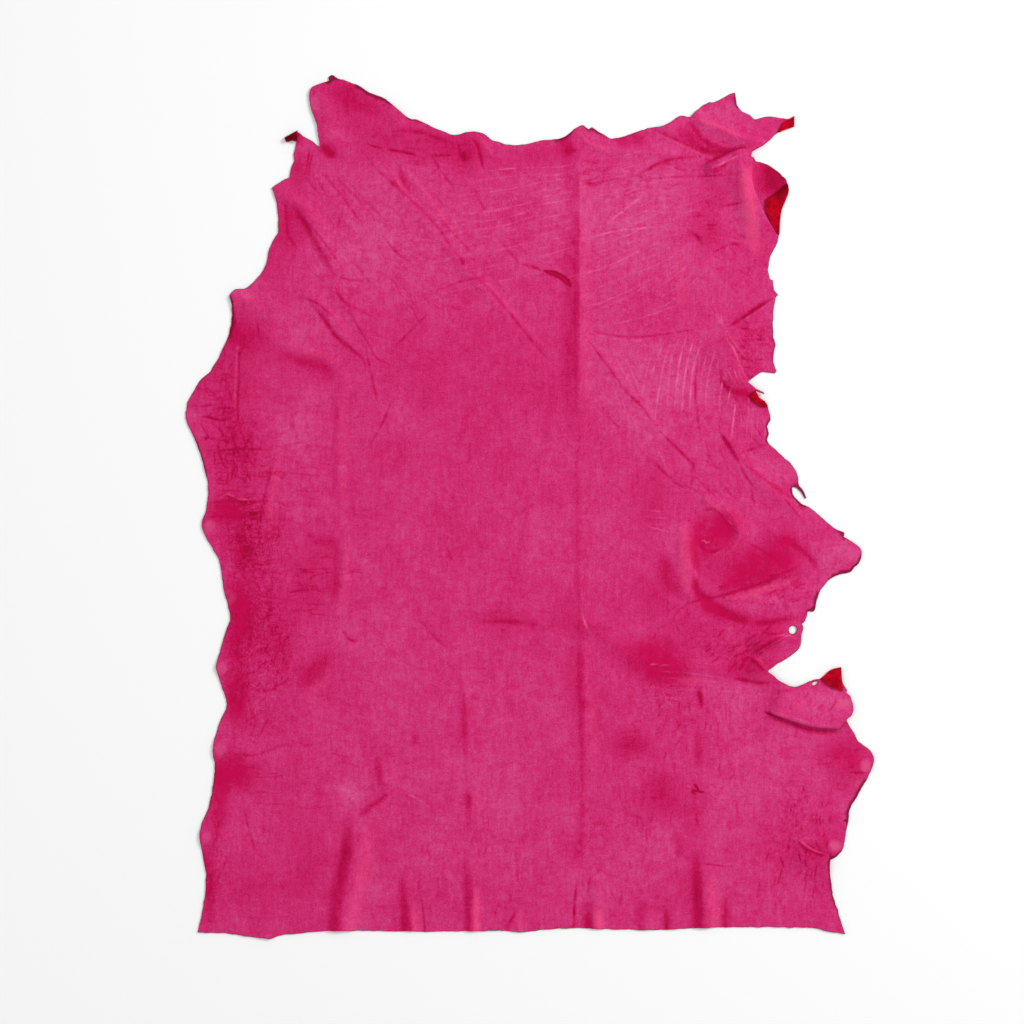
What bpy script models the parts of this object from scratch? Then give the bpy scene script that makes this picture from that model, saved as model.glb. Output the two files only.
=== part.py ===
# Leather hide: one vegetable-tanned double shoulder, dried on a frame and laid grain side up.
# It is a single sheet with a clamped, scalloped and torn edge, seven pressed-over folds that
# run in from the edge, and five places where the edge has turned over and shows its back.
import math
import bpy
import numpy as np
from mathutils import Vector
from mathutils.geometry import delaunay_2d_cdt

for thing in list(bpy.data.objects):
    bpy.data.objects.remove(thing, do_unlink=True)

# Sizes in metres. Places in the tables are in squares of a grid ruled over the laid hide:
# across from the left, down from the top. The hide is GRID_WIDTH squares wide.
HIDE_WIDTH = 1.10
THICKNESS = 0.0020
PRESSED_BEND = 0.0016
GRID_WIDTH = 688.0
SQUARE = HIDE_WIDTH / GRID_WIDTH
MIDDLE_ACROSS = 529.5
FOOT_DOWN = 938.4
FLAT_HEIGHT = THICKNESS / 2

# How closely the shape is followed
EDGE_SPACING = 0.030
FOLD_SPACING = 0.009
FINE_SPACING = 0.019
BEND_STEPS = 4

# The edge, anticlockwise from the notch beside the neck, in named stretches.
# Columns: across, down, kind ("c" a sharp corner, "r" the edge runs round through the place).
TORN_TAB = (
    (319.5, 147.0, "c"),
    (313.0, 142.0, "r"),
    (305.0, 137.0, "r"),
    (297.6, 131.0, "c"),
)
TORN_TAB_FOOT = (
    (287.0, 142.0, "c"),
    (292.0, 140.5, "r"),
    (296.0, 142.0, "c"),
    (295.3, 148.6, "r"),
    (293.3, 154.5, "r"),
    (294.0, 161.0, "r"),
    (291.0, 168.0, "r"),
    (289.5, 177.5, "c"),
    (284.0, 179.5, "r"),
    (271.5, 188.0, "c"),
)
LEFT_SHOULDER = (
    (271.5, 188.0, "c"),
    (275.3, 198.0, "r"),
    (277.3, 210.0, "r"),
    (278.4, 233.0, "c"),
    (273.0, 241.0, "r"),
    (269.0, 249.0, "r"),
    (267.3, 258.0, "r"),
    (263.0, 270.5, "r"),
    (250.5, 285.0, "r"),
    (245.5, 288.2, "r"),
    (234.5, 289.3, "c"),
    (229.6, 295.5, "c"),
    (232.0, 308.0, "r"),
    (231.5, 323.0, "c"),
    (226.5, 340.5, "r"),
    (211.0, 370.0, "r"),
    (200.7, 380.0, "r"),
    (188.7, 400.0, "r"),
    (185.5, 412.0, "r"),
)
LEFT_BELLY = (
    (185.5, 412.0, "r"),
    (186.3, 421.0, "r"),
    (195.0, 440.0, "r"),
    (202.0, 460.0, "r"),
    (208.0, 487.0, "r"),
    (206.5, 508.0, "r"),
    (202.2, 522.0, "r"),
    (202.8, 531.0, "r"),
    (213.5, 550.0, "r"),
    (219.0, 560.0, "r"),
    (223.8, 590.0, "r"),
    (230.0, 618.0, "r"),
    (226.2, 630.0, "r"),
    (217.4, 660.0, "r"),
    (216.3, 669.0, "r"),
    (219.7, 680.0, "r"),
    (226.5, 704.0, "r"),
    (220.5, 720.0, "r"),
    (212.7, 748.0, "r"),
    (214.8, 766.0, "r"),
    (210.5, 800.0, "r"),
    (200.0, 830.0, "r"),
    (200.3, 843.0, "r"),
    (205.0, 869.0, "r"),
    (205.3, 892.0, "r"),
    (202.5, 910.0, "r"),
    (197.6, 932.4, "c"),
)
CUT_FOOT = (
    (197.6, 932.4, "c"),
    (222.0, 933.3, "r"),
    (262.0, 938.2, "r"),
    (271.5, 938.4, "r"),
    (284.0, 935.0, "r"),
    (330.0, 931.0, "r"),
    (427.0, 931.7, "r"),
    (500.0, 930.8, "r"),
    (521.0, 932.0, "r"),
    (565.0, 928.4, "r"),
    (605.0, 929.0, "r"),
    (651.0, 930.0, "r"),
    (723.0, 927.3, "r"),
    (812.0, 928.0, "r"),
    (829.0, 931.4, "r"),
    (845.5, 934.2, "c"),
)
RIGHT_FOOT = (
    (845.5, 934.2, "c"),
    (840.3, 920.0, "r"),
    (831.7, 887.0, "r"),
    (829.5, 869.0, "r"),
    (829.7, 861.0, "c"),
)
BELOW_DART = (
    (832.5, 859.0, "r"),
    (838.5, 855.0, "r"),
    (843.3, 848.0, "r"),
    (846.0, 833.0, "r"),
    (848.6, 819.3, "r"),
)
RIGHT_LEG = (
    (848.6, 819.3, "r"),
    (850.3, 808.5, "r"),
    (861.0, 790.0, "r"),
    (870.3, 772.0, "r"),
    (873.8, 762.0, "r"),
    (871.3, 752.0, "r"),
    (859.0, 741.5, "r"),
    (852.0, 730.0, "r"),
    (846.5, 720.4, "r"),
)
TONGUE_END = (
    (843.8, 722.5, "r"),
    (846.4, 719.0, "c"),
    (851.0, 715.3, "r"),
    (853.5, 709.0, "r"),
    (850.5, 697.0, "r"),
    (846.5, 692.5, "c"),
    (847.0, 690.0, "c"),
    (842.8, 682.5, "r"),
    (841.0, 673.5, "r"),
)
TONGUE_TOP = (
    (814.0, 679.6, "r"),
    (800.0, 685.6, "r"),
    (795.0, 686.8, "r"),
    (785.0, 684.3, "r"),
    (772.0, 674.5, "c"),
)
LOBE = (
    (769.2, 669.6, "r"),
    (776.0, 665.0, "r"),
    (790.0, 656.5, "r"),
    (797.5, 650.0, "r"),
    (800.6, 644.5, "r"),
    (801.4, 637.0, "r"),
)
RIGHT_BELLY = (
    (801.4, 637.0, "r"),
    (803.6, 628.6, "r"),
    (801.6, 624.0, "c"),
    (804.9, 621.3, "r"),
    (807.8, 611.0, "c"),
    (813.8, 611.2, "r"),
    (817.0, 600.0, "r"),
    (820.3, 590.5, "r"),
    (831.0, 579.0, "r"),
    (840.0, 574.2, "r"),
    (849.3, 572.8, "r"),
    (853.0, 569.5, "r"),
    (860.5, 559.0, "r"),
    (859.8, 548.3, "r"),
    (843.6, 536.8, "c"),
    (844.4, 532.8, "r"),
    (840.5, 531.2, "c"),
    (833.0, 527.2, "r"),
    (810.0, 507.8, "r"),
    (801.3, 503.3, "r"),
    (793.2, 495.0, "r"),
    (792.2, 487.2, "c"),
    (797.0, 488.0, "r"),
    (802.4, 494.0, "r"),
    (804.8, 498.8, "c"),
    (806.8, 498.0, "c"),
    (803.0, 490.5, "r"),
    (798.5, 484.0, "r"),
    (797.4, 474.0, "r"),
    (791.0, 464.0, "r"),
    (780.0, 454.0, "r"),
    (769.4, 444.5, "c"),
    (767.2, 439.8, "r"),
    (768.8, 434.0, "r"),
    (767.8, 426.5, "r"),
    (770.3, 420.0, "r"),
    (768.0, 407.5, "c"),
)
THREAD_END = (
    (755.2, 390.6, "c"),
    (763.6, 394.6, "c"),
    (764.6, 393.0, "c"),
    (753.2, 387.3, "r"),
    (749.4, 383.6, "r"),
)
THROAT_FLAP = (
    (749.0, 380.7, "r"),
    (755.5, 376.0, "r"),
    (762.5, 372.0, "r"),
    (775.0, 373.3, "c"),
    (776.6, 371.0, "c"),
    (773.8, 362.0, "r"),
    (774.0, 352.0, "r"),
    (775.6, 345.0, "r"),
    (773.1, 337.0, "r"),
    (773.6, 311.0, "r"),
    (775.8, 297.0, "c"),
)
RIGHT_NECK = (
    (775.8, 297.0, "c"),
    (778.5, 295.0, "c"),
    (774.2, 289.5, "r"),
    (772.8, 280.2, "c"),
    (770.0, 279.0, "r"),
    (768.1, 269.0, "r"),
    (770.3, 257.0, "r"),
    (775.5, 246.5, "r"),
    (778.8, 236.5, "c"),
)
ROLLED_FLAP = (
    (786.2, 179.3, "r"),
    (780.5, 173.8, "r"),
    (771.0, 167.0, "r"),
    (765.0, 163.7, "r"),
    (756.0, 161.3, "r"),
)
EAR_UNDER = (
    (760.5, 147.0, "r"),
    (769.5, 140.5, "r"),
    (774.5, 135.0, "r"),
)
EAR_TOP = (
    (788.5, 119.0, "r"),
    (780.0, 117.7, "r"),
    (768.0, 116.8, "r"),
    (754.5, 119.0, "r"),
    (750.0, 115.0, "r"),
    (742.0, 111.0, "r"),
    (737.0, 105.0, "c"),
    (735.0, 92.6, "c"),
    (729.5, 94.2, "r"),
    (713.0, 102.6, "r"),
    (709.0, 102.2, "r"),
    (700.0, 108.2, "r"),
    (689.8, 117.3, "c"),
)
NECK = (
    (689.8, 117.3, "c"),
    (681.0, 115.9, "r"),
    (671.0, 122.0, "r"),
    (663.0, 126.0, "r"),
    (650.0, 127.8, "r"),
    (612.5, 138.5, "r"),
    (602.0, 133.6, "r"),
    (592.0, 127.3, "c"),
    (588.5, 129.8, "c"),
    (581.0, 125.2, "r"),
    (562.0, 138.0, "r"),
    (543.0, 140.0, "r"),
    (517.0, 145.3, "r"),
    (492.0, 140.0, "r"),
    (482.0, 132.8, "r"),
    (466.0, 132.3, "r"),
    (453.0, 134.8, "r"),
    (417.0, 119.6, "r"),
    (409.5, 118.6, "r"),
    (391.0, 103.5, "r"),
    (384.0, 98.0, "r"),
    (369.0, 92.4, "r"),
    (361.0, 87.0, "r"),
    (343.5, 79.6, "r"),
    (338.0, 78.6, "c"),
    (332.0, 75.0, "r"),
    (328.3, 77.3, "c"),
    (329.0, 80.5, "c"),
    (319.0, 83.8, "r"),
    (311.0, 88.8, "r"),
    (309.5, 98.0, "r"),
    (311.5, 111.0, "r"),
    (317.0, 125.0, "r"),
    (319.5, 147.0, "c"),
)

# The seven pressed-over folds. Each visible fold edge is a row of places from where the fold
# starts to the rim. The leather on one side lies on top, turns under at the edge, runs back
# and turns again into the lower side. Shape columns: share of the length, turn in degrees,
# leather between the two turns in mm. The lower side is +1 for the left when walking along.
FOLDS = {
    "tongue": dict(
        lower=-1, bend=0.0019, reach=0.085,
        edge=((764.0, 711.2), (780.6, 717.0), (796.0, 721.6), (811.0, 726.2), (840.3, 728.6)),
        shape=((0.0, 0, 0.0), (0.1, 110, 0.5), (0.22, 180, 3.0), (0.5, 180, 8.0), (1.0, 180, 13.0)),
    ),
    "roll": dict(
        lower=1, bend=0.0022, reach=0.050,
        edge=((751.9, 157.0), (751.2, 170.0), (752.0, 185.0), (758.0, 201.0), (766.5, 219.5),
              (778.8, 236.5)),
        shape=((0.0, 80, 1.5), (0.25, 100, 4.0), (0.5, 115, 5.0), (0.8, 125, 3.0), (1.0, 0, 0.0)),
    ),
    "ear": dict(
        lower=1, bend=PRESSED_BEND, reach=0.060,
        edge=((700.0, 165.0), (709.0, 162.5), (720.0, 158.5), (730.0, 153.4), (741.0, 149.8),
              (751.8, 152.6)),
        shape=((0.0, 0, 0.0), (0.15, 130, 0.3), (0.35, 180, 3.0), (0.6, 180, 4.5), (0.8, 120, 1.0),
               (1.0, 70, 0.8)),
    ),
    "throat": dict(
        lower=1, bend=PRESSED_BEND, reach=0.065,
        edge=((724.0, 331.5), (732.0, 349.0), (741.0, 369.5), (748.5, 381.8)),
        shape=((0.0, 0, 0.0), (0.15, 120, 0.5), (0.4, 180, 3.0), (1.0, 180, 9.0)),
    ),
    "lobe top": dict(
        lower=-1, bend=PRESSED_BEND, reach=0.045,
        edge=((752.5, 656.5), (760.0, 652.0), (768.0, 647.0), (779.0, 640.5), (788.0, 637.2)),
        shape=((0.0, 0, 0.0), (0.2, 120, 0.5), (0.5, 180, 2.5), (0.75, 140, 1.0), (1.0, 0, 0.0)),
    ),
    "lobe foot": dict(
        lower=1, bend=PRESSED_BEND, reach=0.045,
        edge=((752.5, 656.5), (757.2, 660.3), (763.0, 665.6), (768.3, 670.8)),
        shape=((0.0, 0, 0.0), (0.25, 130, 0.5), (0.6, 180, 4.0), (1.0, 180, 7.0)),
    ),
    "dart": dict(
        lower=1, bend=PRESSED_BEND, reach=0.065,
        edge=((799.5, 840.0), (810.0, 847.2), (820.0, 852.3), (831.3, 855.5)),
        shape=((0.0, 0, 0.0), (0.2, 120, 0.5), (0.5, 180, 3.0), (1.0, 180, 6.0)),
    ),
}

# Where the rim has turned over and shows its flesh side.
# Columns: across and down on the turned edge, across and down on the free rim over the hide.
TURNED_TAB = (
    (297.6, 131.0, 297.0, 142.0),
    (291.5, 134.4, 291.5, 140.6),
    (284.5, 138.3, 286.2, 142.2),
)
TURNED_TONGUE = (
    (841.0, 667.6, 842.6, 690.8),
    (831.0, 670.2, 833.0, 688.2),
    (825.5, 675.0, 828.0, 685.2),
    (820.5, 679.0, 820.5, 679.0),
)
TURNED_THROAT = (
    (768.0, 407.5, 768.0, 407.5),
    (765.0, 402.5, 760.0, 406.0),
    (758.5, 397.5, 753.0, 401.5),
    (755.4, 391.8, 749.5, 394.5),
    (755.2, 390.6, 755.2, 390.6),
)
TURNED_ROLL = (
    (779.0, 235.0, 779.0, 235.0),
    (779.2, 227.0, 772.8, 227.0),
    (780.2, 215.0, 767.5, 215.0),
    (781.6, 208.5, 765.0, 207.0),
    (785.0, 200.5, 765.5, 199.6),
    (788.2, 191.0, 777.5, 191.5),
    (787.2, 183.0, 787.2, 183.0),
)
TURNED_EAR = (
    (777.5, 132.5, 777.5, 132.5),
    (785.0, 129.3, 783.0, 122.5),
    (794.0, 126.3, 794.3, 116.0),
)

# Seams of the layout: ordinary places inside the sheet where two of its regions meet.
SEAM_TONGUE = ((764.0, 711.2), (772.0, 674.5))
SEAM_EAR = ((700.0, 165.0), (689.8, 117.3))
SEAM_THROAT = ((724.0, 331.5), (748.0, 313.5), (775.8, 297.0))
SEAM_LOBE = ((788.0, 637.2), (801.4, 637.0))
SEAM_DART = ((799.5, 840.0), (848.6, 819.3))

# Holes. Columns: across, down, half length, half width, lean in degrees.
HOLES = (
    (792.8, 629.8, 4.3, 3.9, 60.0),
    (814.9, 683.2, 3.3, 1.7, 25.0),
)

# Long soft ridges of the dried skin. Columns: from across, from down, to across, to down,
# height in mm, half width in mm. Each fades out at both ends.
RIDGES = (
    (592.0, 118.0, 583.0, 250.0, 4.0, 42.0),
    (318.0, 92.0, 340.0, 170.0, 4.0, 40.0),
    (690.0, 120.0, 764.0, 138.0, 6.0, 26.0),
    (340.0, 205.0, 300.0, 165.0, 3.0, 34.0),
    (468.0, 122.0, 480.0, 185.0, 3.0, 22.0),
    (365.0, 945.0, 362.0, 835.0, 4.5, 30.0),
    (602.0, 940.0, 596.0, 850.0, 3.0, 26.0),
    (706.0, 938.0, 712.0, 850.0, 3.5, 26.0),
    (478.0, 942.0, 484.0, 880.0, 2.0, 24.0),
    (268.0, 948.0, 262.0, 880.0, 2.5, 28.0),
    (196.0, 408.0, 245.0, 404.0, 3.0, 26.0),
    (222.0, 296.0, 285.0, 318.0, 3.5, 30.0),
    (208.0, 668.0, 262.0, 664.0, 2.5, 24.0),
    (205.0, 748.0, 258.0, 752.0, 2.5, 24.0),
    (192.0, 836.0, 240.0, 842.0, 2.5, 24.0),
    (866.0, 556.0, 808.0, 566.0, 4.0, 30.0),
    (880.0, 764.0, 825.0, 770.0, 3.5, 30.0),
)


# Measuring: squares of the grid to metres, and smooth steps.
def place(across, down):
    return ((across - MIDDLE_ACROSS) * SQUARE, (FOOT_DOWN - down) * SQUARE)


def smooth(share):
    share = np.clip(share, 0.0, 1.0)
    return share * share * (3 - 2 * share)


def rounded(points, corners, spacing):
    """Walk a smooth line through the places; corners stay sharp."""
    points = [np.array(p, float) for p in points]
    walk = [points[0]]
    for i in range(len(points) - 1):
        here, there = points[i], points[i + 1]
        before = here * 2 - there if corners[i] or i == 0 else points[i - 1]
        last = i + 2 > len(points) - 1
        after = there * 2 - here if corners[i + 1] or last else points[i + 2]
        span = np.linalg.norm(there - here)
        lead = (there - before) / max(np.linalg.norm(there - before), 1e-9) * span
        tail = (after - here) / max(np.linalg.norm(after - here), 1e-9) * span
        bend = math.acos(max(-1.0, min(1.0, float(lead @ tail) / (span * span))))
        parts = max(1, math.ceil(span / spacing), math.ceil(bend / 0.42))
        for k in range(1, parts + 1):
            t = k / parts
            walk.append((2 * t ** 3 - 3 * t ** 2 + 1) * here + (t ** 3 - 2 * t ** 2 + t) * lead
                        + (3 * t ** 2 - 2 * t ** 3) * there + (t ** 3 - t ** 2) * tail)
    return np.array(walk)


class Fold:
    """One pressed-over fold: its visible edge, its section and how far it lifts the upper side."""

    def __init__(self, lower, bend, reach, edge, shape):
        self.lower = lower
        self.bend = bend
        self.reach = reach
        self.line = rounded([place(*p) for p in edge], [False] * len(edge), FOLD_SPACING)
        steps = np.linalg.norm(np.diff(self.line, axis=0), axis=1)
        self.along = np.concatenate([[0.0], np.cumsum(steps)])
        self.length = self.along[-1]
        self.shape = shape
        ways = np.gradient(self.line, axis=0)
        ways /= np.linalg.norm(ways, axis=1)[:, None]
        self.ways = ways
        self.towards_lower = np.stack([-ways[:, 1], ways[:, 0]], 1) * lower

    def section(self, along):
        shares = [row[0] for row in self.shape]
        share = np.asarray(along) / self.length
        turn = np.radians(np.interp(share, shares, [row[1] for row in self.shape]))
        flat = np.interp(share, shares, [row[2] for row in self.shape]) / 1000
        return turn, flat

    def rise(self, along):
        turn, flat = self.section(along)
        return 2 * self.bend * (1 - np.cos(turn)) + flat * np.sin(turn)

    def lift(self, places, side):
        if side == "lower":
            return np.zeros(len(places))
        starts, spans = self.line[:-1], np.diff(self.line, axis=0)
        size = (spans ** 2).sum(1)
        share = ((places[:, None] - starts) * spans).sum(2) / size
        near = starts + np.clip(share, 0, 1)[..., None] * spans
        gap = np.linalg.norm(places[:, None] - near, axis=2)
        pick = gap.argmin(1)
        rows = np.arange(len(places))
        along = self.along[pick] + np.clip(share, 0, 1)[rows, pick] * np.sqrt(size[pick])
        past_end = (places - self.line[-1]) @ self.ways[-1]
        past_start = (self.line[0] - places) @ self.ways[0]
        over = np.maximum(np.maximum(past_end * (along >= self.length - 1e-9), 0),
                          past_start * (along <= 1e-9))
        across = np.sqrt(np.maximum(gap[rows, pick] ** 2 - np.maximum(over, 0) ** 2, 0))
        away = places - near[rows, pick]
        ways = spans[pick] / np.sqrt(size[pick])[:, None]
        lower_hand = (-ways[:, 1] * away[:, 0] + ways[:, 0] * away[:, 1]) * self.lower
        fall = 1 - smooth((across - 0.004) / (self.reach - 0.004))
        fall = fall * (1 - smooth(over / self.reach))
        amount = self.rise(along) * fall
        if side == "either":
            amount = np.where((lower_hand > 1e-7) & (over <= 0), 0.0, amount)
        return amount


FOLD = {name: Fold(**sizes) for name, sizes in FOLDS.items()}

# Which regions of the sheet lie on the lower or the upper side of each fold.
SIDES = {
    "body": {"tongue": "lower"},
    "tongue": {"tongue": "upper"},
    "flap": {"roll": "lower", "ear": "lower", "tongue": "lower"},
    "ear": {"ear": "lower", "tongue": "lower"},
    "throat": {"throat": "lower", "tongue": "lower"},
    "lobe": {"lobe top": "lower", "lobe foot": "lower", "tongue": "lower"},
    "leg": {"dart": "lower", "tongue": "lower"},
}


def ridge_height(places):
    height = np.zeros(len(places))
    for across0, down0, across1, down1, tall, half in RIDGES:
        start = np.array(place(across0, down0))
        span = np.array(place(across1, down1)) - start
        length = np.linalg.norm(span)
        way = span / length
        along = (places - start) @ way / length
        beside = (places - start) @ np.array([-way[1], way[0]]) / (half / 1000)
        crown = np.where(np.abs(beside) < 1, (1 - beside ** 2) ** 2, 0.0)
        run = smooth(along / 0.12) * (1 - smooth((along - 0.45) / 0.55))
        height += tall / 1000 * crown * run
    return height


def surface(region, places):
    """Height of the middle of the leather over the ground, for places in one region."""
    places = np.atleast_2d(np.asarray(places, float))
    height = FLAT_HEIGHT + ridge_height(places)
    for name, fold in FOLD.items():
        height = height + fold.lift(places, SIDES[region].get(name, "either"))
    return height


# The middle of the sheet is gathered here: its points and its triangles.
points = []
faces = []


def add(x, y, z):
    points.append((float(x), float(y), float(z)))
    return len(points) - 1


def add_on(region, places):
    return [add(x, y, z) for (x, y), z in zip(places, surface(region, places))]


def stretch(region, table, first=True, last=True):
    """Points along one named stretch of the edge."""
    walk = rounded([place(row[0], row[1]) for row in table], [row[2] == "c" for row in table],
                   EDGE_SPACING)
    walk = walk if first else walk[1:]
    walk = walk if last else walk[:-1]
    return add_on(region, walk)


def seam(start, table, end):
    """Points between two that exist already."""
    walk = rounded([place(*p) for p in table], [False] * len(table), FINE_SPACING)
    return [start] + add_on("body", walk[1:-1]) + [end]


def quads(rows):
    """Join neighbouring rows of points; a row may have closed up to one point."""
    for one, two in zip(rows[:-1], rows[1:]):
        for k in range(len(one) - 1):
            corners = [one[k], two[k], two[k + 1], one[k + 1]]
            ring = [c for i, c in enumerate(corners) if c != corners[i - 1]]
            if len(ring) == 4:
                faces.append((ring[0], ring[1], ring[2]))
                faces.append((ring[0], ring[2], ring[3]))
            elif len(ring) == 3:
                faces.append(tuple(ring))


def press(name, upper_region, lower_region, start=None):
    """Build one fold; returns its border on the upper side and on the lower side."""
    fold = FOLD[name]
    rows = []
    for i, along in enumerate(fold.along):
        turn, flat = (float(v) for v in fold.section(along))
        towards = fold.towards_lower[i]
        if turn < 1e-6:
            if i == 0 and start is not None:
                rows.append([start] * (2 * BEND_STEPS + 2))
            else:
                rows.append([add_on(upper_region, [fold.line[i]])[0]] * (2 * BEND_STEPS + 2))
            continue
        r = fold.bend
        set_in = r * math.sin(min(turn, math.pi / 2))
        out, drop = [], []
        for k in range(BEND_STEPS + 1):
            a = turn * k / BEND_STEPS
            out.append(r * math.sin(a))
            drop.append(r * (1 - math.cos(a)))
        far = out[-1] + flat * math.cos(turn)
        low = drop[-1] + flat * math.sin(turn)
        for k in range(BEND_STEPS + 1):
            a = turn * (1 - k / BEND_STEPS)
            out.append(far + r * (math.sin(turn) - math.sin(a)))
            drop.append(low + r * (math.cos(a) - math.cos(turn)))
        spots = [fold.line[i] + towards * (o - set_in) for o in out]
        top = surface(upper_region, [spots[0]])[0]
        foot = surface(lower_region, [spots[-1]])[0]
        row = [add(s[0], s[1], top + (foot - top) * d / drop[-1]) for s, d in zip(spots, drop)]
        rows.append(row)
    quads(rows if fold.lower > 0 else [row[::-1] for row in rows])
    return [row[0] for row in rows], [row[-1] for row in rows]


def turn_over(region, table):
    """Turn a stretch of the rim up and over; returns the border that it shares with the hide."""
    fold_line = rounded([place(r[0], r[1]) for r in table], [False] * len(table), FOLD_SPACING)
    marks = [0.0]
    for one, two in zip(table[:-1], table[1:]):
        marks.append(marks[-1] + math.dist(place(*one[:2]), place(*two[:2])))
    walked = np.concatenate([[0], np.cumsum(np.linalg.norm(np.diff(fold_line, axis=0), axis=1))])
    share = walked / walked[-1] * marks[-1]
    free = np.stack([np.interp(share, marks, [place(r[2], r[3])[k] for r in table])
                     for k in (0, 1)], 1)
    r = PRESSED_BEND
    rows = []
    for spot, rim in zip(fold_line, free):
        reach = np.linalg.norm(rim - spot)
        if reach < 1e-6:
            rows.append([add_on(region, [spot])[0]] * (2 * BEND_STEPS + 2))
            continue
        inward = (rim - spot) / reach
        turn = math.pi * min(1.0, reach / r)
        flat = max(reach - r, 0.0)
        base = spot + inward * r * math.sin(min(turn, math.pi / 2))
        row = []
        for k in range(2 * BEND_STEPS + 1):
            a = turn * k / (2 * BEND_STEPS)
            x, y = base - inward * r * math.sin(a)
            row.append(add(x, y, surface(region, [(x, y)])[0] + r * (1 - math.cos(a))))
        x, y = base + inward * flat
        row.append(add(x, y, surface(region, [(x, y)])[0] + r * (1 - math.cos(turn)) - 0.0003))
        rows.append(row)
    quads([row[::-1] for row in rows])
    return [row[0] for row in rows]


def inside(loop, places):
    """Which places lie inside a closed loop."""
    hit = np.zeros(len(places), bool)
    for one, two in zip(loop, np.roll(loop, -1, axis=0)):
        crosses = (one[1] > places[:, 1]) != (two[1] > places[:, 1])
        rise = two[1] - one[1] if two[1] != one[1] else 1e-12
        hit ^= crosses & (places[:, 0] < one[0] + (places[:, 1] - one[1]) / rise * (two[0] - one[0]))
    return hit


def nearest(loop, places, closed=True):
    """Distance from each place to a line of points."""
    ends = np.roll(loop, -1, axis=0) if closed else loop[1:]
    best = np.full(len(places), 9.0)
    for one, two in zip(loop, ends):
        span = two - one
        size = max(float(span @ span), 1e-18)
        t = np.clip(((places - one) @ span) / size, 0, 1)
        best = np.minimum(best, np.linalg.norm(places - one - t[:, None] * span, axis=1))
    return best


def fill(region, border, holes=()):
    """Cover one region of the sheet with triangles."""
    loop = np.array([points[i][:2] for i in border])
    low, high = loop.min(0), loop.max(0)
    grid = []
    pitch = FINE_SPACING
    rows = int((high[1] - low[1]) / (pitch * 0.866)) + 2
    for j in range(rows):
        for i in range(int((high[0] - low[0]) / pitch) + 2):
            open_one = j % 3 == 0 and (i + (j // 3) % 2) % 3 == 0
            grid.append((low[0] + (i + 0.5 * (j % 2)) * pitch, low[1] + j * pitch * 0.866, open_one))
    grid = np.array(grid)
    grid = grid[inside(loop, grid[:, :2])]
    spots = grid[:, :2]
    busy = np.full(len(spots), 9.0)
    for fold in FOLD.values():
        busy = np.minimum(busy, nearest(fold.line, spots, False) - fold.reach)
    shaped = ridge_height(spots) > 0.0002
    keep = (busy < 0) | shaped | (grid[:, 2] > 0)
    spots = spots[keep]
    room = nearest(loop, spots)
    for hole in holes:
        room = np.minimum(room, nearest(np.array([points[i][:2] for i in hole]), spots))
    spots = spots[room > pitch * 0.45]
    loops = [list(border)] + [list(hole) for hole in holes]
    ids = [i for ring in loops for i in ring]
    edges, offset = [], 0
    for ring in loops:
        edges += [(offset + k, offset + (k + 1) % len(ring)) for k in range(len(ring))]
        offset += len(ring)
    ids += add_on(region, spots) if len(spots) else []
    flat = [Vector(points[i][:2]) for i in ids]
    made, _, triangles, origins, _, _ = delaunay_2d_cdt(flat, edges, [], 0, 1e-9)
    back = [ids[group[0]] if group else None for group in origins]
    if None in back:
        raise ValueError("the edge crosses itself in region " + region)
    middle = np.array([np.mean([made[v] for v in tri], axis=0) for tri in triangles])
    held = inside(loop, middle)
    for hole in holes:
        held &= ~inside(np.array([points[i][:2] for i in hole]), middle)
    for tri, keep_it in zip(triangles, held):
        if keep_it:
            a, b, c = (back[v] for v in tri)
            (ax, ay), (bx, by), (cx, cy) = points[a][:2], points[b][:2], points[c][:2]
            turned = (bx - ax) * (cy - ay) - (by - ay) * (cx - ax)
            if abs(turned) > 1e-12:
                faces.append((a, b, c) if turned > 0 else (a, c, b))


def ring_of(region, row, sides):
    across, down, long_half, short_half, lean = row
    lean = math.radians(lean)
    spots = []
    for k in range(sides):
        a = -2 * math.pi * k / sides
        u, v = long_half * math.cos(a), short_half * math.sin(a)
        spots.append(place(across + u * math.cos(lean) + v * math.sin(lean),
                           down - u * math.sin(lean) + v * math.cos(lean)))
    return add_on(region, spots)


# Folds and turned rims first, because the regions take their borders from them.
tongue_up, tongue_low = press("tongue", "tongue", "body")
roll_up, roll_low = press("roll", "body", "flap")
ear_up, ear_low = press("ear", "body", "ear")
throat_up, throat_low = press("throat", "body", "throat")
lobe_up, lobe_low = press("lobe top", "body", "lobe")
foot_up, foot_low = press("lobe foot", "body", "lobe", start=lobe_up[0])
dart_up, dart_low = press("dart", "body", "leg")
tab_rim = turn_over("body", TURNED_TAB)
tongue_rim = turn_over("tongue", TURNED_TONGUE)
throat_rim = turn_over("body", TURNED_THROAT)
roll_rim = turn_over("flap", TURNED_ROLL)
ear_rim = turn_over("ear", TURNED_EAR)

# Stretches of the rim
tab_top = stretch("body", TORN_TAB, last=False)
left_side = stretch("body", TORN_TAB_FOOT) + stretch("body", LEFT_SHOULDER, first=False)
left_side += stretch("body", LEFT_BELLY, first=False)
foot_side = stretch("body", CUT_FOOT, first=False) + stretch("body", RIGHT_FOOT, first=False)
leg_side = stretch("body", RIGHT_LEG)
belly_side = stretch("body", RIGHT_BELLY, last=False)
thread = stretch("body", THREAD_END, first=False)
neck_side = stretch("body", RIGHT_NECK, last=False)
top_side = stretch("body", NECK, last=False)

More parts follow.
